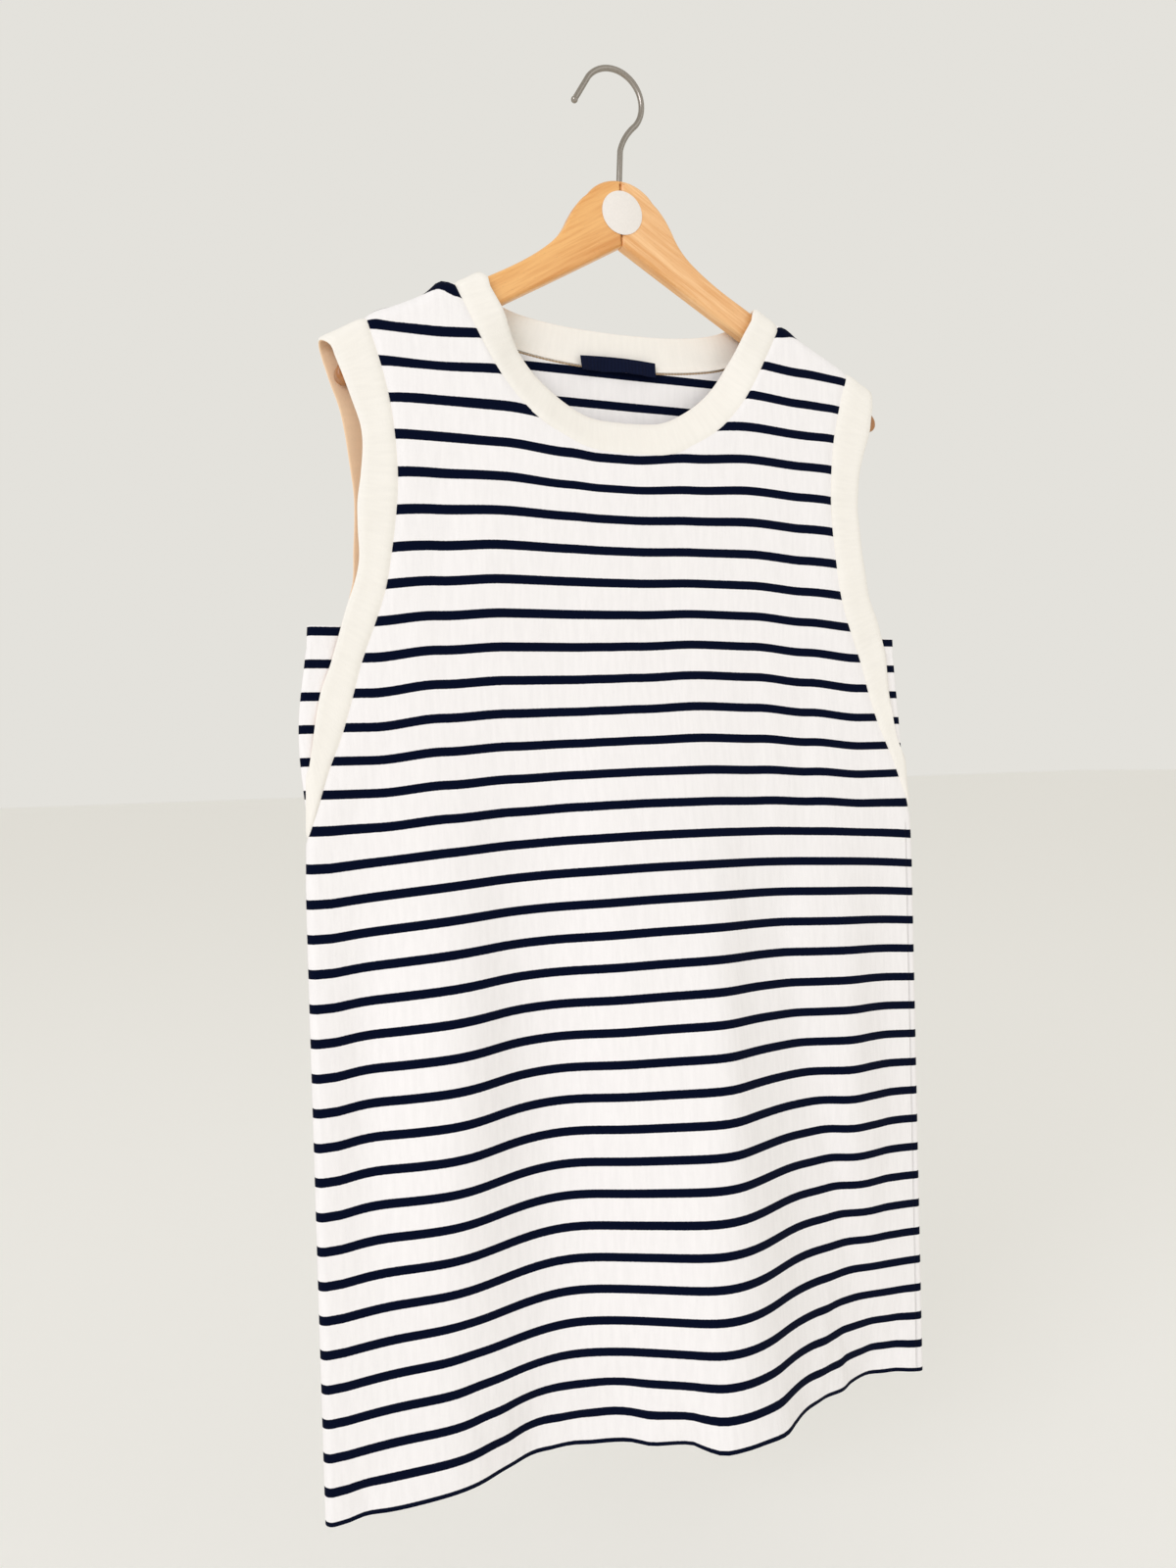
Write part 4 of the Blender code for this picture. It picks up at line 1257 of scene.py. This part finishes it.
# %% [markdown]
# ## Striped jersey
# The cloth is a heavy cotton jersey, knitted from white yarn with a navy stripe a little
# over 6 mm wide every 23.8 mm. Knitting has no sharp edges: each stripe ends in a row of
# small loops, so its edge wanders by a fraction of a millimetre. The loops themselves are
# under a millimetre, too fine to show, so a coarser grain of 1.6 mm stands for them, with
# soft lengthwise streaks of yarn.

# %% Striped jersey
STRIPE_REPEAT = 0.0238        # metres from one navy stripe to the next
STRIPE_SHARE = 0.275          # of that, navy
LOOP_GRAIN = 0.0016           # coarser than the real loops, so that it shows
EDGE_WANDER = 0.00016
SEAM_PLACES = (0.2415, BACK_CUT_ASIDE - 0.2415)      # side seams on the front's and the back's cut
SEAM_TOP = 0.465
HEM_DEPTH = 0.020
PUCKER = 0.007                # from one pucker of the hem to the next
WHITE_YARN = "#f6f3f2"
NAVY_YARN = "#040b22"
CREAM_YARN = "#f5f1e9"
KNIT_LEVELS = {"Roughness": 0.92, "Sheen Weight": 0.01, "Sheen Roughness": 0.6, "Specular IOR Level": 0.04}
STRIPE_SOFTNESS = 0.006       # share of the repeat over which a stripe's edge fades
STRIPE_START = 8.5            # puts a stripe's middle on height zero, and keeps all repeats above zero
SEAM_LINE = (0.0002, 0.0011)  # from where to where a seam's groove fades
SEAM_FADE = 0.01              # height over which it ends under the arm


def knit_grain(material, cut, strength):
    """A bump of small uneven loops and lengthwise streaks. Returns the bump's and the streaks' nodes."""
    loops = add_node(material, "ShaderNodeTexNoise", {"noise_dimensions": "2D"},
                     {"Vector": cut, "Scale": 1.0 / LOOP_GRAIN, "Detail": 2.0, "Roughness": 0.6})
    stretched = add_node(material, "ShaderNodeMapping", None, {"Vector": cut, "Scale": (1.0, 0.14, 1.0)})
    streaks = add_node(material, "ShaderNodeTexNoise", {"noise_dimensions": "2D"},
                       {"Vector": stretched, "Scale": 300.0, "Detail": 3.0, "Roughness": 0.55})
    both = add_node(material, "ShaderNodeMath", {"operation": "MULTIPLY_ADD"}, (streaks, 0.8, loops))
    bump = add_node(material, "ShaderNodeBump", None, {"Height": both, "Strength": strength, "Distance": 0.0004})
    return bump, streaks


def tinted(material, colour, streaks, low, high):
    """A colour that the streaks make a little lighter and darker."""
    shade_of = add_node(material, "ShaderNodeMapRange", None, (streaks, 0.3, 0.7, low, high))
    return add_node(material, "ShaderNodeVectorMath", {"operation": "SCALE"}, {0: colour, "Scale": shade_of})


def striped_jersey():
    """Striped knit with its side seams and the puckers of its hem."""
    material, shader = new_material("Cotton jersey, striped", KNIT_LEVELS)
    cut = add_node(material, "ShaderNodeUVMap", {"uv_map": "Cut"})
    across, height = add_node(material, "ShaderNodeSeparateXYZ", None, (cut,)).outputs[:2]

    # Stripes: how far each place is from the middle of its repeat, with a wandering edge
    wander = add_node(material, "ShaderNodeTexNoise", {"noise_dimensions": "2D"},
                      {"Vector": cut, "Scale": 640.0, "Detail": 2.0})
    off = add_node(material, "ShaderNodeMath", {"operation": "MULTIPLY_ADD"},
                   (wander, EDGE_WANDER * 2, -EDGE_WANDER))
    moved = add_node(material, "ShaderNodeMath", {"operation": "ADD"}, (height, off))
    repeats = add_node(material, "ShaderNodeMath", {"operation": "MULTIPLY_ADD"},
                       (moved, 1.0 / STRIPE_REPEAT, STRIPE_START))
    part = add_node(material, "ShaderNodeMath", {"operation": "FRACT"}, (repeats,))
    beside = add_node(material, "ShaderNodeMath", {"operation": "SUBTRACT"}, (part, 0.5))
    away = add_node(material, "ShaderNodeMath", {"operation": "ABSOLUTE"}, (beside,))
    edge = STRIPE_SHARE / 2
    navy = add_node(material, "ShaderNodeMapRange", None,
                    (away, edge - STRIPE_SOFTNESS, edge + STRIPE_SOFTNESS, 1.0, 0.0))
    yarn = add_node(material, "ShaderNodeMix", {"data_type": "RGBA"},
                    {0: navy, 6: linear(WHITE_YARN), 7: linear(NAVY_YARN)})
    grain, streaks = knit_grain(material, cut, 0.45)
    colour = tinted(material, yarn.outputs[2], streaks, 0.968, 1.01)

    # Side seams: a soft groove up to the armhole, bumped in and darkened 8 % with painted shade
    gaps = []
    for seam in SEAM_PLACES:
        gap = add_node(material, "ShaderNodeMath", {"operation": "SUBTRACT"}, (across, seam))
        gaps.append(add_node(material, "ShaderNodeMath", {"operation": "ABSOLUTE"}, (gap,)))
    nearest = add_node(material, "ShaderNodeMath", {"operation": "MINIMUM"}, gaps)
    line = add_node(material, "ShaderNodeMapRange", None, (nearest, *SEAM_LINE, 1.0, 0.0))
    below = add_node(material, "ShaderNodeMapRange", None, (height, SEAM_TOP - SEAM_FADE, SEAM_TOP, 1.0, 0.0))
    groove = add_node(material, "ShaderNodeMath", {"operation": "MULTIPLY"}, (line, below))
    # painted shade in the seams' grooves
    shaded = add_node(material, "ShaderNodeMath", {"operation": "MULTIPLY_ADD"}, (groove, -0.08, 1.0))
    colour_with_seam_shade = add_node(material, "ShaderNodeVectorMath", {"operation": "SCALE"}, {0: colour, "Scale": shaded})

    # Hem: the small puckers that its hidden stitches pull
    tall = add_node(material, "ShaderNodeMapping", None, {"Vector": cut, "Scale": (1.0, 0.2, 1.0)})
    puckers = add_node(material, "ShaderNodeTexNoise", {"noise_dimensions": "2D"},
                       {"Vector": tall, "Scale": 1.0 / PUCKER, "Detail": 1.5})
    in_hem = add_node(material, "ShaderNodeMapRange", None, (height, HEM_DEPTH * 0.4, HEM_DEPTH, 1.0, 0.0))
    pulled = add_node(material, "ShaderNodeMath", {"operation": "MULTIPLY"}, (puckers, in_hem))
    relief = add_node(material, "ShaderNodeMath", {"operation": "SUBTRACT"}, (pulled, groove))
    sewing = add_node(material, "ShaderNodeBump", None,
                      {"Height": relief, "Strength": 0.8, "Distance": 0.0009, "Normal": grain})
    return surface(material, shader, colour_with_seam_shade, sewing)


striped = striped_jersey()
for piece in (front_cloth, back_cloth, *inset_cloth.values()):
    wear(piece, striped)

# %% [markdown]
# ## Plain jersey of the bands
# The bands are the same knit in cream, folded double, so they look a little smoother and
# warmer than the body. The grain runs round the band, because the strip was cut across.
# The armbands' inner layer is painted a warm peach shade, the shadow inside the armholes.

# %% Plain jersey
# painted warm shade of the armbands' inner layer, which lies in shadow inside the armholes
ARMHOLE_PAINTED_SHADE = "#f0d0ae"
INNER_LAYER = (-0.009, -0.005)       # where the UV turns from the inner layer to the outer


def plain_jersey(name, inside):
    """Cream jersey whose inner layer, where its UV is well below zero, takes the colour given as inside: a
    painted warm shade on the armbands.
    """
    material, shader = new_material(name, KNIT_LEVELS)
    cut = add_node(material, "ShaderNodeUVMap", {"uv_map": "Cut"})
    across = add_node(material, "ShaderNodeSeparateXYZ", None, (cut,)).outputs[1]
    outer = add_node(material, "ShaderNodeMapRange", None, (across, *INNER_LAYER, 0.0, 1.0))
    yarn = add_node(material, "ShaderNodeMix", {"data_type": "RGBA"},
                    {0: outer, 6: linear(inside), 7: linear(CREAM_YARN)})
    grain, streaks = knit_grain(material, cut, 0.30)
    return surface(material, shader, tinted(material, yarn.outputs[2], streaks, 0.98, 1.01), grain)


wear(neckband_cloth, plain_jersey("Cotton jersey, cream, folded double", CREAM_YARN))
# the armbands wear the painted warm shade on their inner layer
warm_painted_shade = plain_jersey("Cotton jersey, cream, warmed inside", ARMHOLE_PAINTED_SHADE)
for piece in armband_cloth.values():
    wear(piece, warm_painted_shade)

# %% [markdown]
# ## Overlock thread
# The overlock is sewn with spun polyester thread, slightly shinier than cotton. Its tan-brown
# colour is painted shade: the dark line in the gap under the back band. It is finer than a pixel,
# so only its colour and a little unevenness along it are drawn.

# %% Overlock thread


def spun_thread():
    """Thread coloured tan-brown as painted shade of the seam's shadow line, uneven along its run."""
    material, shader = new_material("Spun polyester thread, tan as painted shade", {"Roughness": 0.7})
    cut = add_node(material, "ShaderNodeUVMap", {"uv_map": "Cut"})
    uneven = add_node(material, "ShaderNodeTexNoise", {"noise_dimensions": "2D"},
                      {"Vector": cut, "Scale": 500.0, "Detail": 2.0})
    # painted shade: the thread is coloured tan-brown for the shadow line under the band
    return surface(material, shader, tinted(material, linear("#b79a78")[:3], uneven, 0.80, 1.08))


wear(overlock_cord, spun_thread())

# %% [markdown]
# ## Woven label
# The label is woven polyester tape, navy, with a faint silky rib across it. Filament yarn
# is shinier than cotton, so it is smoother and has a stronger highlight.

# %% Woven tape
RIB = 0.0009


def woven_tape():
    """Navy tape with a rib across it."""
    material, shader = new_material("Woven polyester tape, navy", {"Roughness": 0.62, "Specular IOR Level": 0.08})
    cut = add_node(material, "ShaderNodeUVMap", {"uv_map": "Cut"})
    ribs = add_node(material, "ShaderNodeTexWave", {"bands_direction": "X"},
                    {"Vector": cut, "Scale": 1.0 / (RIB * 10), "Distortion": 0.4})
    colour = tinted(material, linear("#081029")[:3], ribs.outputs[1], 0.9, 1.1)
    bump = add_node(material, "ShaderNodeBump", None,
                    {"Height": ribs.outputs[1], "Strength": 0.35, "Distance": 0.0002})
    return surface(material, shader, colour, bump)


wear(label_tape, woven_tape())

# %% [markdown]
# ## Varnished beech
# Beech is pale orange under clear varnish, with fine growth lines along the arm, short
# dark flecks and a few broader bands. The growth lines are a noise stretched along the
# grain. The varnish is a thin clear coat over duller wood.

# %% Varnished beech
ARM_SLOPE = {-1: 31.0, 1: -31.0}     # degrees of each arm's grain from level
# Painted shade at the arms' ends, which sit in shadow inside the armholes
END_PAINTED_SHADES = (0.186, 0.212)          # from where to where along the arm it turns brown
END_PAINTED_SHADE = "#b59f86"


def varnished_beech(name, side, pale, deep):
    """Beech with its grain along one arm, darkened with painted shade at that arm's end."""
    material, shader = new_material(name, {"Roughness": 0.42, "Coat Weight": 0.35, "Coat Roughness": 0.18})
    place = add_node(material, "ShaderNodeTexCoord").outputs["Object"]
    grain = add_node(material, "ShaderNodeMapping", None,
                     {"Vector": place, "Rotation": (0.0, math.radians(ARM_SLOPE[side]), 0.0)})
    stretched = add_node(material, "ShaderNodeMapping", None, {"Vector": grain, "Scale": (0.045, 1.0, 1.0)})
    lines = add_node(material, "ShaderNodeTexNoise", None,
                     {"Vector": stretched, "Scale": 520.0, "Detail": 5.0, "Roughness": 0.65})
    broad = add_node(material, "ShaderNodeTexNoise", None,
                     {"Vector": stretched, "Scale": 90.0, "Detail": 2.0, "Distortion": 0.6})
    half = add_node(material, "ShaderNodeMath", {"operation": "MULTIPLY"}, (broad, 0.45))
    total = add_node(material, "ShaderNodeMath", {"operation": "MULTIPLY_ADD"}, (lines, 0.55, half))
    wood = add_node(material, "ShaderNodeValToRGB", None, (total,))
    for stop, position, colour in zip(wood.color_ramp.elements, (0.38, 0.60), (deep, pale)):
        stop.position = position
        stop.color = linear(colour)
    flecks = add_node(material, "ShaderNodeMapping", None, {"Vector": grain, "Scale": (0.22, 1.0, 1.0)})
    pores = add_node(material, "ShaderNodeTexVoronoi", None, {"Vector": flecks, "Scale": 620.0})
    dots = add_node(material, "ShaderNodeMapRange", None, (pores, 0.05, 0.16, 0.82, 1.0))
    dotted = add_node(material, "ShaderNodeVectorMath", {"operation": "SCALE"}, {0: wood, "Scale": dots})

    # Painted shade: the last stretch of each arm, in shadow inside the armhole, is darkened brown
    across = add_node(material, "ShaderNodeSeparateXYZ", None, (place,))
    from_middle = add_node(material, "ShaderNodeMath", {"operation": "MULTIPLY"}, (across, float(side)))
    end_shade_share = add_node(material, "ShaderNodeMapRange", None, (from_middle, *END_PAINTED_SHADES, 0.0, 1.0))
    colour = add_node(material, "ShaderNodeMix", {"data_type": "RGBA", "blend_type": "MULTIPLY"},
                      {0: end_shade_share, 6: dotted, 7: linear(END_PAINTED_SHADE)})
    bump = add_node(material, "ShaderNodeBump", None, {"Height": total, "Strength": 0.12, "Distance": 0.0003})
    return surface(material, shader, colour.outputs[2], bump)


for side, which, pale, deep in ((-1, "left", "#f1b76f", "#d99349"), (1, "right", "#fac990", "#e2a462")):
    wear(arms[side], varnished_beech(f"Beech, clear varnish, {which} arm", side, pale, deep))

# %% [markdown]
# ## Bright plated wire
# Nickel plate on drawn steel: a full metal with a slightly warm grey and fine lines along
# the wire from drawing, which blur its reflections.

# %% Plated wire


def plated_wire():
    """Nickel plate with fine lines from drawing."""
    material, shader = new_material("Steel wire, bright nickel plate", {"Roughness": 0.26, "Metallic": 1.0})
    place = add_node(material, "ShaderNodeTexCoord").outputs["Object"]
    scratches = add_node(material, "ShaderNodeTexNoise", None, {"Vector": place, "Scale": 900.0, "Detail": 3.0})
    colour = tinted(material, linear("#9f988f")[:3], scratches, 0.88, 1.06)
    bump = add_node(material, "ShaderNodeBump", None, {"Height": scratches, "Strength": 0.08, "Distance": 0.0002})
    return surface(material, shader, colour, bump)


wear(hook, plated_wire())

# %% [markdown]
# ## Paper
# Coated sticker paper: almost white, satin, with the faint cloudiness of paper fibres.

# %% Sticker paper


def sticker_paper():
    """Almost white paper, faintly cloudy."""
    material, shader = new_material("Coated sticker paper", {"Roughness": 0.5})
    place = add_node(material, "ShaderNodeTexCoord").outputs["Object"]
    fibres = add_node(material, "ShaderNodeTexNoise", None, {"Vector": place, "Scale": 700.0, "Detail": 4.0})
    return surface(material, shader, tinted(material, linear("#efe9e2")[:3], fibres, 0.96, 1.01))


wear(spot, sticker_paper())

# %% [markdown]
# ## What stands for what
# Each new piece rides on the one body, and the solid it stands for is hidden.

# %% Pieces on the body
for piece, node, slot in (
    (front_cloth, "front_panel", "striped_jersey"),
    (back_cloth, "back_panel", "striped_jersey"),
    (neckband_cloth, "neckband", "plain_band"),
    (armband_cloth[-1], "armband_left", "plain_band"),
    (armband_cloth[1], "armband_right", "plain_band"),
    (inset_cloth[-1], "underarm_inset_left", "striped_jersey"),
    (inset_cloth[1], "underarm_inset_right", "striped_jersey"),
    (label_tape, "neck_label", "woven_label"),
    (arms[-1], "hanger_wood", "varnished_wood"),
    (hook, "hanger_hook", "bright_steel"),
    (spot, "blank_spot", "paper"),
):
    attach(piece, "root")
    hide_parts(node)
for piece, slot in ((arms[1], "varnished_wood"), (overlock_cord, "plain_band")):
    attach(piece, "root")
